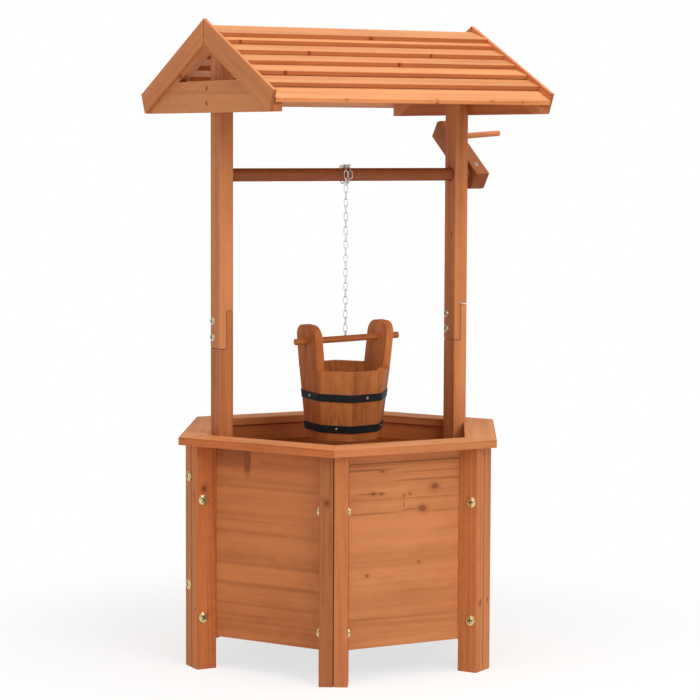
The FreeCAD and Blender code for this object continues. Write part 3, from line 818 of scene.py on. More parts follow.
class Shell:
    """Collects grids of points into one mesh."""

    def __init__(self) -> None:
        """Start empty."""
        self.points: list[np.ndarray] = []
        self.recess: list[np.ndarray] = []
        self.faces: list[list[int]] = []
        self.count = 0

    def grid(self, points: np.ndarray, wrap_rows: bool = False, cap_last: bool = False,
             recess: np.ndarray | None = None) -> None:
        """Add a grid of quads, of which each row is a closed ring.

        Args:
            points: Array of rows by columns by 3.
            wrap_rows: Whether the last row joins the first.
            cap_last: Whether a face closes the last row.
            recess: Array of rows by columns, 1 where a point lies in a recess.
        """
        rows, columns = points.shape[:2]
        index = np.arange(rows * columns).reshape(rows, columns) + self.count
        down = np.roll(index, -1, 0) if wrap_rows else index[1:]
        upper = index if wrap_rows else index[:-1]
        quads = np.stack([upper, np.roll(upper, -1, 1), np.roll(down, -1, 1), down], -1)
        self.faces += quads.reshape(-1, 4).tolist()
        if cap_last:
            self.faces.append(index[-1].tolist())
        self.points.append(points.reshape(-1, 3))
        self.recess.append((np.zeros((rows, columns)) if recess is None else recess).reshape(-1))
        self.count += rows * columns

    def finish(self, name: str, material: bpy.types.Material, smooth_below: float = 40.0) -> bpy.types.Object:
        """Make the object.

        Args:
            name: The piece's name.
            material: Its finish.
            smooth_below: Edges flatter than this many degrees are shaded smooth.

        Returns:
            The object, at the origin.
        """
        mesh = bpy.data.meshes.new(name)
        mesh.from_pydata(np.concatenate(self.points).tolist(), [], self.faces)
        mesh.validate()
        mesh.polygons.foreach_set("use_smooth", np.ones(len(mesh.polygons), bool))
        mesh.set_sharp_from_angle(angle=math.radians(smooth_below))
        mesh.materials.append(material)
        recess = mesh.attributes.new("recess", "FLOAT", "POINT")
        recess.data.foreach_set("value", np.concatenate(self.recess).astype(np.float32))
        made = bpy.data.objects.new(name, mesh)
        bpy.context.scene.collection.objects.link(made)
        return made


def basis(outward: Vector) -> np.ndarray:
    """Three rows of unit vectors: two across a direction, and the direction itself.

    Args:
        outward: The direction.

    Returns:
        A 3 by 3 array whose cross product of the first two rows is the third.
    """
    guide = UP if abs(outward.z) < 0.9 else RIGHT
    side = guide.cross(outward).normalized()
    return np.array([side, outward.cross(side).normalized(), outward.normalized()])


def smoothstep(value: np.ndarray, low: float, high: float) -> np.ndarray:
    """3 t squared less 2 t cubed, where t runs from 0 at low to 1 at high."""
    t = np.clip((value - low) / (high - low), 0.0, 1.0)
    return t * t * (3.0 - 2.0 * t)


@dataclass(frozen=True)
class DrivenHead:
    """A turned head with a cross recess: an optional flange, a low dome and the recess, in metres."""

    flange_radius: float
    flange_thickness: float
    head_radius: float
    head_height: float
    recess_reach: float
    recess_half_width: float
    recess_depth: float

    # The dome, as shares of the head's radius and height: its pole's ring, where it turns into the lip, how
    # far it falls to there, and how tall the lip is against its width
    POLE = 0.02
    DOME_SHARE = 0.80
    DOME_FALL = 0.32
    LIP_HEIGHT = 0.9
    # The flange: its edge's rounding, its fillet's width and heights, and its edge's top, as shares of the
    # flange's thickness or of the head's radius
    EDGE_ROUND = 0.45
    FILLET_WIDTH = 1.04
    FILLET_HEIGHTS = (1.15, 1.02)
    EDGE_TOP = 0.96
    # The recess: how soft its edges are against its half width, and how much shallower it is at the rim
    RECESS_SOFT = 0.35
    RECESS_FADE = 0.45
    DOME_RINGS = 22
    LIP_RINGS = 6
    EDGE_RINGS = 5
    RING_POINTS = 56

    def add_to(self, shell: Shell, seat: Vector, outward: Vector, turn: float) -> None:
        """Add one head.

        The surface is a polar grid: the radius follows the turned profile from the middle of the dome
        down to the seat, and the cross is taken off the dome's height where it lies inside either bar.

        Args:
            shell: Where the surface goes.
            seat: The middle of the face it sits on.
            outward: The direction out of that face.
            turn: The angle of the cross.
        """
        lip_share = 1.0 - self.DOME_SHARE
        dome = np.linspace(self.POLE, self.DOME_SHARE, self.DOME_RINGS) * self.head_radius
        fall = self.DOME_FALL * (dome / self.head_radius) ** 2
        dome_height = self.flange_thickness + self.head_height * (1.0 - fall)
        lip = np.linspace(0.0, math.pi / 2, self.LIP_RINGS)[1:]
        lip_radius = self.head_radius * (self.DOME_SHARE + lip_share * np.sin(lip))
        lip_height = dome_height[-1] - lip_share * self.head_radius * self.LIP_HEIGHT * (1.0 - np.cos(lip))
        profile_radius = [dome, lip_radius]
        profile_height = [dome_height, lip_height]
        if self.flange_radius > self.head_radius:
            edge = np.linspace(0.0, math.pi / 2, self.EDGE_RINGS)
            half = self.EDGE_ROUND * self.flange_thickness
            profile_radius += [np.array([1.0, self.FILLET_WIDTH]) * self.head_radius,
                               self.flange_radius - half * (1.0 - np.sin(edge))]
            profile_height += [np.array(self.FILLET_HEIGHTS) * self.flange_thickness,
                               self.flange_thickness * self.EDGE_TOP - half * (1.0 - np.cos(edge))]
        profile_radius.append(profile_radius[-1][-1:])
        profile_height.append(np.array([0.0]))
        radius = np.concatenate(profile_radius)[:, None]
        height = np.concatenate(profile_height)[:, None]
        angle = np.linspace(0.0, 2.0 * math.pi, self.RING_POINTS, endpoint=False)
        x = radius * np.cos(angle + turn)
        y = radius * np.sin(angle + turn)
        along, over = np.abs(radius * np.cos(angle)), np.abs(radius * np.sin(angle))
        cross = np.maximum(self.bar(along, over), self.bar(over, along))
        fade = np.clip(1.0 - radius / self.head_radius * self.RECESS_FADE, 0.0, 1.0)
        z = height - self.recess_depth * cross * fade
        axes = basis(outward)
        points = np.array(seat) + x[..., None] * axes[0] + y[..., None] * axes[1] + z[..., None] * axes[2]
        shell.grid(points[::-1], cap_last=True, recess=cross[::-1])

    def bar(self, along: np.ndarray, over: np.ndarray) -> np.ndarray:
        """One bar of the cross: the product of a smooth step over its half width and one over its reach.

        Args:
            along: Distances from the middle along the bar.
            over: Distances from the middle across it.

        Returns:
            1 inside the bar, 0 outside it.
        """
        soft = self.RECESS_SOFT * self.recess_half_width
        inside = 1 - smoothstep(over, self.recess_half_width - soft, self.recess_half_width + soft)
        return inside * (1 - smoothstep(along, self.recess_reach - soft, self.recess_reach + soft))


LEG_HEAD = DrivenHead(9.3 * MM, 1.6 * MM, 6.4 * MM, 2.7 * MM, 5.1 * MM, 1.15 * MM, 2.1 * MM)
LAP_HEAD = DrivenHead(6.85 * MM, 1.6 * MM, 5.1 * MM, 2.7 * MM, 4.1 * MM, 1.3 * MM, 2.2 * MM)
SCREW_HEAD = DrivenHead(0.0, 0.0, 4.45 * MM, 0.98 * MM, 2.7 * MM, 0.7 * MM, 0.8 * MM)
ANCHOR_HEAD = DrivenHead(0.0, 0.0, 3.15 * MM, 1.45 * MM, 1.9 * MM, 0.5 * MM, 1.0 * MM)


def dress(node: str, material: bpy.types.Material) -> None:
    """Give a piece of the frame its finish, in every slot that it has.

    Args:
        node: The piece's name in the frame.
        material: The finish.
    """
    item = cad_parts[node]
    if not item.material_slots:
        item.data.materials.append(material)
    for slot in item.material_slots:
        slot.material = material
    log.info("%s has %s", node, material.name)


def place(piece: bpy.types.Object, body: Body, slot: Slot, *nodes: str) -> None:
    """Let a new piece ride on its body and stand for frame nodes.

    Args:
        piece: The new piece.
        body: The body that it rides on.
        slot: The record's finish; not used.
        nodes: The frame nodes that it stands for.
    """
    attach(piece, body.value)
    if nodes:
        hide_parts(*nodes)
    log.info("%s rides on %s", piece.name, body.value)


def spoke(angle: float) -> Vector:
    """The level direction at an angle in degrees from RIGHT."""
    return Vector((math.cos(math.radians(angle)), math.sin(math.radians(angle)), 0.0))


@dataclass
class Base:
    """The six-sided planting tray: legs, side panels, rim and floor."""

    grain: FirGrain
    leg_middle_radius: float = 273.8 * MM
    leg_height: float = 390.0 * MM
    panel_middle: float = 223.0 * MM
    floor_middle: float = 357.0 * MM
    floor_board_pitch: float = 127.3 * MM
    rail_pitch: float = 240.0 * MM
    leg_angles: dict[str, float] = field(default_factory=lambda: {
        "right": 0.0, "back_right": 60.0, "back_left": 120.0, "left": 180.0, "front_left": 240.0,
        "front_right": 300.0})
    side_angles: dict[str, float] = field(default_factory=lambda: {
        "back_right": 30.0, "back": 90.0, "back_left": 150.0, "front_left": 210.0, "front": 270.0,
        "front_right": 330.0})
    front_knots: tuple[Knot, ...] = (
        Knot(0.0585, 0.1020, 6.2 * MM), Knot(0.0352, 0.0653, 5.4 * MM), Knot(-0.0427, 0.1336, 2.6 * MM, 1.8),
        Knot(-0.0609, 0.0962, 2.8 * MM, 2.2), Knot(-0.0455, 0.0952, 2.2 * MM, 1.8),
        Knot(0.0107, 0.0923, 1.8 * MM), Knot(-0.0013, 0.0900, 1.8 * MM), Knot(-0.072, -0.043, 2.6 * MM),
        Knot(0.028, -0.026, 2.4 * MM))
    front_streaks: tuple[Streak, ...] = (
        Streak(0.1478, 1.5 * MM, 1.2, -0.2, 0.2), Streak(0.1440, 1.0 * MM, 0.8, -0.2, -0.02),
        Streak(0.1365, 1.5 * MM, 1.1, -0.2, -0.03), Streak(0.1300, 1.2 * MM, 0.5, -0.02, 0.2),
        Streak(0.1160, 1.4 * MM, 0.8, -0.01, 0.2), Streak(0.0960, 1.1 * MM, 0.7, -0.09, -0.035, 0.01),
        Streak(0.0750, 6.0 * MM, 1.2, -0.0022, -0.0004, 0.0008),
        Streak(0.0655, 0.9 * MM, 1.2, 0.0, 0.03, 0.004),
        Streak(0.0620, 1.4 * MM, 0.6, -0.2, -0.01), Streak(0.0600, 1.2 * MM, 0.6, 0.05, 0.2),
        Streak(0.0850, 1.2 * MM, 0.35), Streak(-0.060, 2.5 * MM, 0.25), Streak(-0.118, 3.0 * MM, 0.28))
    # On the front-left panel, the first and third streaks are a painted shadow of the rim along the panel's
    # top; the second is a short dark patch, and the rest are grain.
    left_streaks_and_rim_shade: tuple[Streak, ...] = (
        Streak(0.150, 21.0 * MM, 0.60, -0.2, -0.037, 0.003),
        Streak(0.145, 22.0 * MM, 1.25, -0.0475, -0.0355, 0.003),
        Streak(0.162, 14.0 * MM, 0.30), Streak(0.098, 1.5 * MM, 0.35), Streak(0.020, 2.5 * MM, 0.30),
        Streak(-0.035, 3.0 * MM, 0.35), Streak(-0.070, 4.0 * MM, 0.40), Streak(-0.105, 3.0 * MM, 0.35),
        Streak(-0.135, 3.5 * MM, 0.40))
    leg_tones: dict[str, tuple[float, float]] = field(default_factory=lambda: {
        "front_left": (0.68, 0.92), "front_right": (1.04, 1.0), "left": (1.06, 1.14)})
    # The second value of each is painted shade on the side faces of the leg's boards.
    leg_coats_and_edge_shading: dict[str, tuple[float, float]] = field(default_factory=lambda: {
        "left": (1.16, 1.27), "front_left": (1.14, 1.24), "front_right": (1.09, 1.14)})
    leg_knots: dict[str, tuple[Knot, ...]] = field(default_factory=lambda: {
        "front_left": (Knot(0.116, 1.1 * MM, 4.8 * MM, 1.0, -1),),
        "left": (Knot(0.1096, -0.7 * MM, 2.2 * MM, 2.4), Knot(-0.09, 4.0 * MM, 2.0 * MM),
                 Knot(0.1195, -4.5 * MM, 4.4 * MM, 1.4, on_edge=True)),
        "front_right": (Knot(-0.075, 1.0 * MM, 3.5 * MM, 1.5, -1), Knot(-0.073, 3.0 * MM, 2.6 * MM, 1.4))})
    # The second values are painted shade on the rim boards' edges: a deeper stain and a lower brightness than
    # their tops.
    rim_coats_and_edge_shading: dict[str, tuple[float, float]] = field(default_factory=lambda: {"front_left": (1.00, 1.28)})
    rim_tones_and_edge_shading: dict[str, tuple[float, float]] = field(default_factory=lambda: {"front_left": (1.28, 0.86)})

    def build(self) -> None:
        """Dress every piece of the tray."""
        self.dress_legs()
        self.dress_panels()
        self.dress_rim()
        self.dress_floor()

    def dress_legs(self) -> None:
        """Legs: upright grain, a joint between the two boards of each."""
        for number, (name, angle) in enumerate(self.leg_angles.items()):
            out = spoke(angle)
            middle = out * self.leg_middle_radius + LAYOUT.at(0, 0, 0.5 * self.leg_height)
            # edge_shading_coats and edge_shading paint shade on the side faces of the legs' boards.
            coats, edge_shading_coats = self.leg_coats_and_edge_shading.get(name, (1.10, 1.20))
            board = Board(UP, UP.cross(out), middle, seed=2.3 + 5.1 * number, pitch=LAYOUT.leg_board_width,
                          phase=0.0, knots=self.leg_knots.get(name, ()), knot_share=0.1,
                          tones=self.leg_tones.get(name, (1.0, 1.0)), coats=coats, edge_shading_coats=edge_shading_coats,
                          edge_shading=0.95, streakiness=1.7, joint=1.3 * MM)
            dress(f"leg_{name}", self.grain.material(f"leg_{name}_wood", HONEY, board))

    def dress_panels(self) -> None:
        """Panels: level grain along each side, with knots."""
        for number, (name, angle) in enumerate(self.side_angles.items()):
            out = spoke(angle)
            middle = out * LAYOUT.panel_apothem + LAYOUT.at(0, 0, self.panel_middle)
            along = UP.cross(out)
            knots = self.front_knots if name == "front" else ()
            streaks = {"front": self.front_streaks, "front_left": self.left_streaks_and_rim_shade}.get(name, ())
            tone = {"front": 0.95, "front_left": 0.91}.get(name, 1.0)
            # The panels' inner faces take painted shade through inner_shade_coats.
            board = Board(along, UP, middle, seed=40.7 + 3.3 * number, knots=knots, streaks=streaks,
                          knot_share=0.06 if name == "front" else 0.3, knot_spread=1.5, tones=(tone, tone),
                          coats=1.16 if name == "front_left" else 1.03, inner_shade_coats=1.22, inner_depth=0.0,
                          figure=0.40, streakiness=1.5, cloud=1.5)
            dress(f"panel_{name}", self.grain.material(f"panel_{name}_wood", PANEL_STAIN, board))

    def dress_rim(self) -> None:
        """Rim boards: grain along each side."""
        for number, (name, angle) in enumerate(self.side_angles.items()):
            out = spoke(angle)
            middle = out * LAYOUT.rim_apothem + LAYOUT.at(0, 0, LAYOUT.rim_top)
            coats, edge_shading_coats = self.rim_coats_and_edge_shading.get(name, (0.90, 1.08))
            tone, edge_shading = self.rim_tones_and_edge_shading.get(name, (1.15, 0.83))
            board = Board(UP.cross(out), out, middle, seed=71.9 + 4.7 * number, knot_share=0.15,
                          tones=(tone, tone), coats=coats, edge_shading_coats=edge_shading_coats, edge_shading=edge_shading,
                          streakiness=1.6)
            dress(f"rim_{name}", self.grain.material(f"rim_{name}_wood", HONEY, board))

    def dress_floor(self) -> None:
        """Floor boards run to the back, and their rails across."""
        middle = LAYOUT.at(0, 0, self.floor_middle)
        board = Board(BACK, RIGHT, middle, seed=101.3, pitch=self.floor_board_pitch, phase=0.0)
        dress("floor_boards", self.grain.material("floor_wood", FLOOR_STAIN, board))
        rail = Board(RIGHT, BACK, middle, seed=107.7, pitch=self.rail_pitch, phase=0.0)
        dress("floor_rails", self.grain.material("rail_wood", FLOOR_STAIN, rail))


@dataclass
class Posts:
    """The two posts, each in two lengths with a half lap."""

    grain: FirGrain
    tones: dict[str, float] = field(default_factory=lambda: {
        "lower_left": 0.88, "upper_left": 1.02, "lower_right": 1.15, "upper_right": 0.96})
    coats: dict[str, float] = field(default_factory=lambda: {
        "lower_left": 1.10, "upper_left": 1.02, "lower_right": 0.97, "upper_right": 1.04})
    knots: dict[str, tuple[Knot, ...]] = field(default_factory=lambda: {
        "lower_left": (Knot(0.160, 4.0 * MM, 2.6 * MM, 2.2),),
        "upper_right": (Knot(0.045, -3.0 * MM, 3.4 * MM, 1.5), Knot(-0.075, 6.0 * MM, 2.2 * MM, 1.6))})

    lap_bottom: float = 554.5 * MM
    lap_top: float = 620.0 * MM
    length_middles: dict[str, float] = field(default_factory=lambda: {
        "lower": 340.0 * MM, "upper": 820.0 * MM})

    def build(self) -> None:
        """Dress the four lengths. Dark lines mark where the two halves of a lap meet, and a painted shadow
        lies at each lap's lower step.
        """
        for number, (side, sign) in enumerate((("left", -1), ("right", 1))):
            for part, height in self.length_middles.items():
                start, end = self.lap_bottom - height, self.lap_top - height
                seam = Streak(across=0.0, half_width=1.1 * MM, depth=1.3, start=start, end=end, fade=2.0 * MM,
                              on_edge=True)
                # Painted shadow under the step at the lap's lower end.
                shoulder_shadow = Streak(across=-sign * 7.0 * MM, half_width=5.5 * MM, depth=1.4,
                                  start=start - 1.2 * MM, end=start + 0.4 * MM, fade=0.6 * MM, on_edge=True)
                middle = LAYOUT.at(sign * 0.5 * (LAYOUT.post_outer + LAYOUT.post_inner), 0, height)
                tone = self.tones[f"{part}_{side}"]
                # The posts' inner faces take painted shade through inner_shade_coats.
                board = Board(UP, BACK * -sign, middle, seed=130.1 + 7.9 * number + 3.1 * (part == "upper"),
                              knots=self.knots.get(f"{part}_{side}", ()), streaks=(seam, shoulder_shadow),
                              knot_share=0.35, tones=(tone, tone), coats=self.coats[f"{part}_{side}"],
                              inner_shade_coats=1.10, inner_depth=12.0 * MM, streakiness=2.3, cloud=1.4)
                dress(f"post_{part}_{side}", self.grain.material(f"post_{part}_{side}_wood", HONEY, board))


@dataclass
class Roof:
    """The gable frames and the overlapped slats.

    row_tones are the front slats' brightness. row_looks are a back slat's brightness, and the depth of the
    stain and the brightness on both slats' long edges, which are painted light and shade, and last_looks the
    same for the lowest row.
    """

    grain: FirGrain
    slat_count: int = 7
    slat_exposure: float = 39.0 * MM
    first_slat_back: float = 18.6 * MM
    slat_width: float = 58.0 * MM
    row_tones: tuple[float, ...] = (0.95, 0.97, 1.0, 0.97, 1.0, 0.92, 1.05)
    row_looks: tuple[float, float, float] = (1.0, 1.28, 0.94)
    last_looks: tuple[float, float, float] = (1.12, 1.20, 1.28)
    # Depths of the painted shadows that the slat above casts on each row, and their place from the row's
    # middle.
    lap_shadows: tuple[float, ...] = (0.0, 0.7, 0.9, 1.5, 0.8, 1.4, 0.7)
    lap_shadow_offset: float = 11.9 * MM
    front_edge: float = -28.0 * MM
    tie_middle_height: float = 987.0 * MM
    tie_height: float = 54.0 * MM
    frame_middle: float = 254.0 * MM
    barge_middle: float = 265.0 * MM
    slope_middle_back: float = 130.0 * MM
    slope_middle_height: float = 1030.0 * MM
    slat_apex: float = 1090.0 * MM
    slat_fall: float = 0.46
    row_knots: tuple[tuple[tuple[float, float], ...], ...] = (
        ((0.0255, 2.2 * MM),), ((-0.2345, 1.4 * MM),), ((-0.1238, 1.5 * MM), (0.1141, 1.3 * MM)),
        ((0.029, 1.8 * MM),), ((-0.2077, 1.8 * MM),), (),
        ((-0.133, 2.2 * MM), (0.1462, 3.0 * MM), (0.2058, 2.2 * MM)))

    def build(self) -> None:
        """Dress tie beams, rafters, bargeboards and slats."""
        self.dress_gables()
        self.dress_slats()

    def dress_gables(self) -> None:
        """Tie beams lie level, and rafters and bargeboards run down the slope."""
        pitch = LAYOUT.roof_pitch
        number = 0
        for side, sign in (("left", -1), ("right", 1)):
            middle = LAYOUT.at(sign * self.frame_middle, 0, self.tie_middle_height)
            # The tie beam's inner face takes painted shade through inner_shade_coats.
            tie = Board(BACK, UP * sign, middle, seed=160.3 + sign, pitch=self.tie_height, tones=(1.0, 1.07),
                        coats=1.12, inner_shade_coats=1.40, streakiness=1.6, cloud=1.4)
            dress(f"tie_beam_{side}", self.grain.material(f"tie_beam_{side}_wood", ROOF_STAIN, tie))
            for slope, hand in (("front", -1), ("back", 1)):
                grain = Vector((0, hand * math.cos(pitch), -math.sin(pitch)))
                across = RIGHT.cross(grain)
                for kind, x in (("rafter", self.frame_middle), ("bargeboard", self.barge_middle)):
                    number += 1
                    middle = LAYOUT.at(sign * x, hand * self.slope_middle_back, self.slope_middle_height)
                    board = Board(grain, across, middle, seed=170.9 + 4.3 * number, knot_share=0.15,
                                  tones=(1.08, 1.08), coats=1.17, seam=1.6 * MM, streakiness=1.4, cloud=1.4)
                    name = f"{kind}_{side}_{slope}"
                    dress(name, self.grain.material(f"{name}_wood", ROOF_STAIN, board))

    def dress_slats(self) -> None:
        """Slats: grain along the ridge, the front and the back one told apart by their side of it."""
        for row in range(1, self.slat_count + 1):
            back = max(0.0, self.first_slat_back + (row - 2) * self.slat_exposure)
            centre = back + 0.5 * self.slat_width
            middle = LAYOUT.at(0, 0, self.slat_apex - self.slat_fall * centre)
            knots = tuple(Knot(x, self.front_edge, radius, 1.6, -1) for x, radius in self.row_knots[row - 1])
            # Painted shadows: a dark line on each slat where the slat above it ends.
            depth = self.lap_shadows[row - 1]
            lap_shadow_streaks = tuple(Streak(hand * self.lap_shadow_offset, 1.3 * MM, depth, board=board)
                         for hand, board in ((1, -1), (-1, 0)))
            # Painted light and shade on the slats' long edges: darker on most rows, brighter on the lowest.
            back_tone, edge_shading_coats, edge_shading = self.last_looks if row == self.slat_count else self.row_looks
            board = Board(RIGHT, BACK, middle, seed=230.7 + 6.1 * row, pitch=2.0 * centre, phase=0.0,
                          knots=knots, streaks=lap_shadow_streaks, knot_share=0.22, knot_spread=1.2,
                          tones=(self.row_tones[row - 1], back_tone), edge_shading_coats=edge_shading_coats,
                          edge_shading=edge_shading, streakiness=1.4)
            dress(f"roof_slats_row_{row}", self.grain.material(f"slats_row_{row}_wood", ROOF_STAIN, board))


Seat = tuple[Vector, Vector]


@dataclass
class Fasteners:
    """Bolts, cap nuts and screws, each with its cross recess."""

    bolt_inset: float = 12.0 * MM
    leg_bolt_heights: tuple[float, float] = (91.0 * MM, 296.0 * MM)
    post_bolt_offset: float = 9.0 * MM
    post_bolt_heights: tuple[float, float] = (145.0 * MM, 334.0 * MM)
    lap_bolt_heights: tuple[float, float] = (573.5 * MM, 601.5 * MM)
    lap_bolt_offset: float = 8.0 * MM
    gable_screw_heights: tuple[float, float] = (976.0 * MM, 1001.0 * MM)
    gable_screw_sink: float = 3.0 * MM
    post_width: float = 26.0 * MM
    seed: int = 11

    def build(self) -> None:
        """Make the heads and let them stand for the plain ones."""
        dice = np.random.default_rng(self.seed)
        for name, head, finish, slot, seats, nodes in (
                ("leg_bolt_heads", LEG_HEAD, YELLOW_ZINC, Slot.YELLOW_ZINC, self.leg_seats(),
                 ("leg_bolts",)),
                ("post_bolt_heads", LEG_HEAD, YELLOW_ZINC, Slot.YELLOW_ZINC, self.post_seats(),
                 ("post_bolts",)),
                ("lap_bolt_heads", LAP_HEAD, PALE_ZINC, Slot.YELLOW_ZINC, self.lap_seats(), ()),
                ("gable_screw_heads", SCREW_HEAD, BRIGHT_ZINC, Slot.BRIGHT_ZINC, self.gable_seats(),
                 ("gable_screws",))):
            shell = Shell()
            for seat, outward in seats:
                head.add_to(shell, seat, outward, dice.uniform(0, math.pi))
            place(shell.finish(name, finish.build()), Body.PLANTER, slot, *nodes)

    def leg_seats(self) -> list[Seat]:
        """Both ends of the bolts through each leg's two boards.

        Returns:
            Where the heads sit, and the directions they face.
        """
        seats = []
        for angle in range(0, 360, 60):
            out = spoke(angle)
            side = UP.cross(out)
            for height in self.leg_bolt_heights:
                middle = out * (LAYOUT.leg_outer_radius - self.bolt_inset) + LAYOUT.at(0, 0, height)
                seats += [(middle + side * (hand * LAYOUT.leg_board_width), side * hand) for hand in (-1, 1)]
        return seats

    def post_seats(self) -> list[Seat]:
        """Both ends of the bolts through the left and right legs into the posts.

        Returns:
            Where the heads sit, and the directions they face.
        """
        seats = []
        for hand in (-1, 1):
            for height in self.post_bolt_heights:
                y = -hand * self.post_bolt_offset
                seats.append((LAYOUT.at(hand * LAYOUT.leg_outer_radius, y, height), RIGHT * hand))
                seats.append((LAYOUT.at(hand * LAYOUT.post_inner, y, height), RIGHT * -hand))
        return seats

    def lap_seats(self) -> list[Seat]:
        """Both ends of the bolts through the half laps.

        Returns:
            Where the heads sit, and the directions they face.
        """
        middle = 0.5 * (LAYOUT.post_outer + LAYOUT.post_inner)
        half = 0.5 * self.post_width
        return [(LAYOUT.at(hand * middle + face * half, self.lap_bolt_offset, height), RIGHT * face)
                for hand in (-1, 1) for height in self.lap_bolt_heights for face in (-1, 1)]

    def gable_seats(self) -> list[Seat]:
        """The outer ends of the screws through the tie beams.

        Returns:
            Where the heads sit, and the directions they face.
        """
        x = LAYOUT.gable_outer - self.gable_screw_sink
        return [(LAYOUT.at(hand * x, 0, height), RIGHT * hand)
                for hand in (-1, 1) for height in self.gable_screw_heights]


@dataclass
class Winch:
    """The axle, the crank, and the two screws on them."""

    grain: FirGrain
    arm_inner: float = 257.05 * MM
    arm_thickness: float = 26.5 * MM
    arm_half_width: float = 20.5 * MM
    arm_middle: float = 60.0 * MM
    handle_distance: float = 123.0 * MM
    screw_offset: float = 3.0 * MM
    screw_turn: float = 0.4
    anchor_seat: float = 18.21 * MM
    anchor_turn: float = 1.1

    def build(self) -> None:
        """Dress the wood and make the screws."""
        lean = LAYOUT.arm_angle
        along = Vector((0, math.cos(lean), math.sin(lean)))
        hub = LAYOUT.at(0, 0, LAYOUT.axle_height)
        axle = Board(RIGHT, BACK, hub, seed=310.3, knot_share=0.0)
        dress("winch_axle", self.grain.material("axle_wood", DARK_STAIN, axle))
        arm_x = self.arm_inner + 0.5 * self.arm_thickness
        middle = LAYOUT.at(arm_x, 0, LAYOUT.axle_height) + along * self.arm_middle
        # Painted shade: the arm's tone is lowered and its stain deepened.
        arm = Board(along, UP.cross(along).cross(along), middle, seed=317.1, knot_share=0.2,
                    tones=(0.84, 0.84), coats=1.10, streakiness=1.6)
        dress("crank_arm", self.grain.material("arm_wood", HONEY, arm))
        handle = Board(RIGHT, BACK, hub + along * self.handle_distance, seed=322.9, knot_share=0.0)
        dress("crank_handle", self.grain.material("handle_wood", HONEY, handle))

        shell = Shell()
        over = Vector((0, -math.sin(lean), math.cos(lean)))
        seat = LAYOUT.at(arm_x, 0, LAYOUT.axle_height)
        seat = seat + along * self.screw_offset + over * self.arm_half_width
        SCREW_HEAD.add_to(shell, seat, over, self.screw_turn)
        last = LAYOUT.wound_links - 1
        turn = -last * 2.0 * math.pi / LAYOUT.links_per_turn
        out = Vector((0, -math.cos(turn), -math.sin(turn)))
        end = LAYOUT.at(last * LAYOUT.strand_spacing / LAYOUT.links_per_turn, 0, LAYOUT.axle_height)
        ANCHOR_HEAD.add_to(shell, end + out * self.anchor_seat, out, self.anchor_turn)
        heads = shell.finish("winch_screw_heads", BRIGHT_ZINC.build())
        place(heads, Body.WINCH, Slot.BRIGHT_ZINC, "winch_screws")


@dataclass
class Chain:
    """Round wire links: a strand that hangs, and nearly two turns on the axle."""

    wire: float = 1.6 * MM
    inner_length: float = 12.6 * MM
    inner_width: float = 4.8 * MM
    pitch: float = 12.3 * MM
    twist: float = math.radians(45.0)
    hanging_links: int = 22
    lift_range: float = 65.1 * MM
    strand_top: float = 846.4 * MM
    bend_stations: int = 11
    ring_points: int = 10
    smooth_below: float = 60.0

    def link(self) -> np.ndarray:
        """One link about its own middle, its length along Z.

        A circle of the wire's size is carried along a stadium: two straight sides joined by half circles.

        Returns:
            Array of stations by ring by 3.
        """
        end = 0.5 * (self.inner_width + self.wire)
        straight = 0.5 * (self.inner_length + self.wire) - end
        top = np.linspace(0.0, math.pi, self.bend_stations)
        angle = np.concatenate([top, top + math.pi])
        shift = np.repeat([straight, -straight], self.bend_stations)
        level = np.zeros(len(angle))
        path = np.stack([end * np.cos(angle), level, end * np.sin(angle) + shift], -1)
        outward = np.stack([np.cos(angle), level, np.sin(angle)], -1)
        around = np.linspace(0.0, 2.0 * math.pi, self.ring_points, endpoint=False)
        cosine, sine = np.cos(around)[None, :, None], np.sin(around)[None, :, None]
        return path[:, None, :] + 0.5 * self.wire * (cosine * outward[:, None, :] + sine * np.array(BACK))

    @staticmethod
    def turned(points: np.ndarray, angle: float, axis: int) -> np.ndarray:
        """Turn points by the product of each with a turning matrix.

        Args:
            points: Array whose last axis is X, Y and Z.
            angle: The turn in radians.
            axis: What they turn about: 0 for X, 2 for Z.

        Returns:
            The turned points.
        """
        c, s = math.cos(angle), math.sin(angle)
        spin = {0: np.array([[1, 0, 0], [0, c, -s], [0, s, c]]),
                2: np.array([[c, -s, 0], [s, c, 0], [0, 0, 1]])}
        return points @ spin[axis].T

    def build(self) -> None:
        """Make both stretches."""
        link = self.link()
        start = np.array(LAYOUT.at(0, -LAYOUT.chain_radius, LAYOUT.axle_height))
        shell = Shell()
        for i in range(self.hanging_links):
            twist = self.twist if i % 2 == 0 else -self.twist
            drop = np.array([0, 0, (i + 1) * self.pitch])
            shell.grid(self.turned(link, twist, 2) + start - drop, wrap_rows=True)
        strand = shell.finish("hanging_chain", CHAIN_ZINC.build(), self.smooth_below)
        place(strand, Body.CHAIN, Slot.CHAIN_STEEL, "chain_hanging")
        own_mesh(strand)

        shell = Shell()
        step = 2.0 * math.pi / LAYOUT.links_per_turn
        centre = np.array(LAYOUT.at(0, 0, LAYOUT.axle_height))
        for i in range(LAYOUT.wound_links):
            twist = -self.twist if i % 2 == 0 else self.twist
            x = i * LAYOUT.strand_spacing / LAYOUT.links_per_turn
            placed = self.turned(link, twist, 2) + np.array([x, -LAYOUT.chain_radius, 0])
            shell.grid(self.turned(placed, -i * step, 0) + centre, wrap_rows=True)
        wound = shell.finish("wound_chain", WOUND_ZINC.build(), self.smooth_below)
        place(wound, Body.WINCH, Slot.CHAIN_STEEL, "chain_on_axle")
        dress("chain_eye", BRIGHT_ZINC.build())


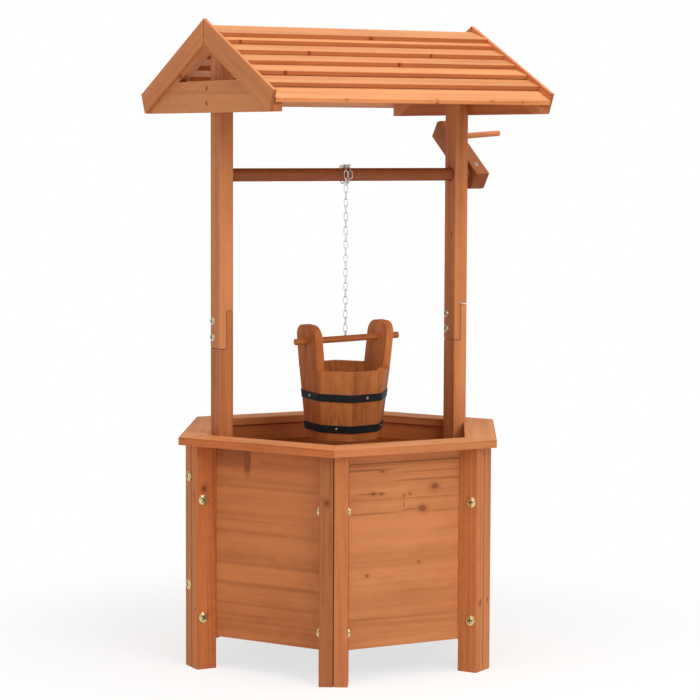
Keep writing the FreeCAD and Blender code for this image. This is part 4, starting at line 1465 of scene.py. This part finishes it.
@dataclass
class Bucket:
    """The staved bucket with its hoops, and the dowel it hangs on.

    The dowel hangs with its right end a little up, and the bucket's mouth is tipped a little to the front.
    """

    grain: FirGrain
    dowel_z: float = 564.35 * MM
    dowel_height: float = 173.0 * MM
    turn: float = math.radians(6.0)
    dowel_slope: float = math.radians(1.1)
    lean: float = math.radians(3.2)

    def build(self) -> None:
        """Dress every piece of the bucket."""
        hung = Matrix.Rotation(self.turn, 3, "Z") @ Matrix.Rotation(-self.dowel_slope, 3, "Y") \
            @ Matrix.Rotation(self.lean, 3, "X")
        along, across, up = hung.col
        pivot = LAYOUT.at(0, -LAYOUT.chain_radius, self.dowel_z)
        foot = pivot - up * self.dowel_height
        ring = Board(up, along, foot, seed=401.3, knot_share=0.0, figure=0.9, streakiness=1.9, cloud=1.2)
        staves = self.grain.material("stave_wood", BUCKET_STAIN, ring, staves=True)
        for name in ("bucket_staves_front", "bucket_staves_back"):
            dress(name, staves)
        # The left ear's deeper stain is painted shade and the right ear's higher tone painted light.
        for side, tone, coats in (("left", 1.0, 1.13), ("right", 1.12, 1.0)):
            ear = replace(ring, tones=(tone, tone), coats=coats)
            wood = self.grain.material(f"ear_{side}_wood", BUCKET_STAIN, ear, staves=True)
            dress(f"bucket_ear_{side}", wood)
        plate = Board(across, along, foot, seed=411.9, knot_share=0.0)
        dress("bucket_floor", self.grain.material("bucket_floor_wood", BUCKET_STAIN, plate))
        dowel = Board(along, across, pivot, seed=417.7, knot_share=0.0)
        dress("bucket_dowel", self.grain.material("dowel_wood", BUCKET_STAIN, dowel))
        hoop = BLACK_HOOP.build()
        dress("bucket_hoop_upper", hoop)
        dress("bucket_hoop_lower", hoop)
        dress("bucket_rivets", RIVET_STEEL.build())


@dataclass(frozen=True)
class Lamp:
    """A round soft lamp: its bearing from the front and elevation in degrees, metres away and wide, watts."""

    name: str
    bearing: float
    elevation: float
    distance: float
    size: float
    power: float


@dataclass
class Studio:
    """The pale floor, the soft lights and the camera of the photograph."""

    camera_azimuth: float = math.radians(27.70)
    camera_distance: float = 4.351
    camera_height: float = 0.9136
    camera_pitch: float = math.radians(4.87)
    camera_yaw: float = math.radians(0.202)
    camera_roll: float = math.radians(0.24)
    focal_ratio: float = 2459.3 / 700.0
    sensor: float = 36.0
    surround_colour: Colour = (1.0, 0.955, 0.90, 1.0)
    surround_strength: float = 0.45
    floor_colour: Colour = (0.90, 0.895, 0.885, 1.0)
    floor_radius: float = 30.0
    floor_hub: float = 0.01
    floor_points: int = 64
    floor_white: Step = (0.45, 1.1, 0.72, 1.0)
    lamps: tuple[Lamp, ...] = (
        Lamp("key", 4.0, 32.0, 3.2, 2.0, 47.0), Lamp("fill", -75.0, 20.0, 3.2, 2.2, 12.0),
        Lamp("overhead", -15.0, 80.0, 2.8, 2.2, 58.0))
    lamps_aim: float = 0.6

    def build(self) -> None:
        """Set up the view, the floor, the lights and the camera."""
        scene = bpy.context.scene
        scene.view_settings.view_transform = "Standard"
        self.make_world()
        self.make_floor()
        self.make_lights()
        self.make_camera()
        log.info("studio ready")

    def make_world(self) -> None:
        """A soft white surround that also shows as plain white."""
        world = bpy.data.worlds.new("surround")
        world.use_nodes = True
        g = Graph(world.node_tree)
        lit = g.node("ShaderNodeBackground")
        lit.inputs["Color"].default_value = self.surround_colour
        lit.inputs["Strength"].default_value = self.surround_strength
        shown = g.node("ShaderNodeBackground")
        shown.inputs["Color"].default_value = (1.0, 1.0, 1.0, 1.0)
        shown.inputs["Strength"].default_value = 1.0
        path = g.node("ShaderNodeLightPath")
        seen = g.math("MAXIMUM", path.outputs["Is Camera Ray"], path.outputs["Is Transmission Ray"])
        g.two_shaders(seen, lit, shown, "ShaderNodeOutputWorld")
        bpy.context.scene.world = world

    def make_floor(self) -> None:
        """A broad pale floor that keeps the planter's shadow and turns plain white away from it."""
        angle = np.linspace(0.0, 2.0 * math.pi, self.floor_points, endpoint=False)
        ring = np.stack([np.cos(angle), np.sin(angle), np.zeros(self.floor_points)], -1)
        shell = Shell()
        shell.grid(np.stack([self.floor_radius * ring, self.floor_hub * ring]), cap_last=True)
        material = bpy.data.materials.new("pale_floor")
        material.use_nodes = True
        g = Graph(material.node_tree)
        spot = g.node("ShaderNodeTexCoord").outputs["Object"]
        away = g.vector("LENGTH", spot).outputs[1]
        far = g.smooth(away, *self.floor_white)
        path = g.node("ShaderNodeLightPath")
        seen = g.math("MAXIMUM", path.outputs["Is Camera Ray"], path.outputs["Is Glossy Ray"])
        seen = g.math("MAXIMUM", seen, path.outputs["Is Transmission Ray"])
        matt = g.node("ShaderNodeBsdfDiffuse")
        matt.inputs["Color"].default_value = self.floor_colour
        white = g.node("ShaderNodeEmission")
        white.inputs["Strength"].default_value = 1.0
        g.two_shaders(g.math("MULTIPLY", far, seen), matt, white, "ShaderNodeOutputMaterial")
        floor = shell.finish("studio_floor", material)

    def make_lights(self) -> None:
        """Three large soft lamps: a key from the right of the camera, a fill from the left, one overhead."""
        for lamp in self.lamps:
            a, e = math.radians(lamp.bearing), math.radians(lamp.elevation)
            back = Vector((math.sin(a) * math.cos(e), -math.cos(a) * math.cos(e), math.sin(e)))
            data = bpy.data.lights.new(lamp.name, "AREA")
            data.shape = "DISK"
            data.size = lamp.size
            data.energy = lamp.power
            made = bpy.data.objects.new(lamp.name, data)
            made.location = UP * self.lamps_aim + back * lamp.distance
            made.rotation_euler = (-back).to_track_quat("-Z", "Y").to_euler()
            bpy.context.scene.collection.objects.link(made)

    def make_camera(self) -> None:
        """The camera, from the angles and distances that were fitted to the photograph."""
        a, p, y, r = self.camera_azimuth, self.camera_pitch, self.camera_yaw, self.camera_roll
        level = Vector((math.sin(a), math.cos(a), 0))
        right = Vector((math.cos(a), -math.sin(a), 0))
        ahead = level * math.cos(y) + right * math.sin(y)
        right = right * math.cos(y) - level * math.sin(y)
        forward = ahead * math.cos(p) - UP * math.sin(p)
        over = UP * math.cos(p) + ahead * math.sin(p)
        right, over = right * math.cos(r) + over * math.sin(r), over * math.cos(r) - right * math.sin(r)
        data = bpy.data.cameras.new("camera")
        data.sensor_width = self.sensor
        data.lens = self.focal_ratio * self.sensor
        camera = bpy.data.objects.new("camera", data)
        spin = Matrix((right, over, -forward)).transposed().to_4x4()
        away = level * -self.camera_distance
        stand = LAYOUT.at(away.x, away.y, self.camera_height)
        camera.matrix_world = Matrix.Translation(stand) @ spin
        bpy.context.scene.collection.objects.link(camera)
        bpy.context.scene.camera = camera


def main() -> None:
    """Build the planter's looks in order."""
    logging.basicConfig(level=logging.INFO)
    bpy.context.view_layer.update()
    grain = FirGrain()
    Studio().build()
    for sub_assembly in (Base(grain), Posts(grain), Roof(grain), Fasteners(), Winch(grain), Chain(),
                         Bucket(grain)):
        sub_assembly.build()


if __name__ == "__main__":
    main()
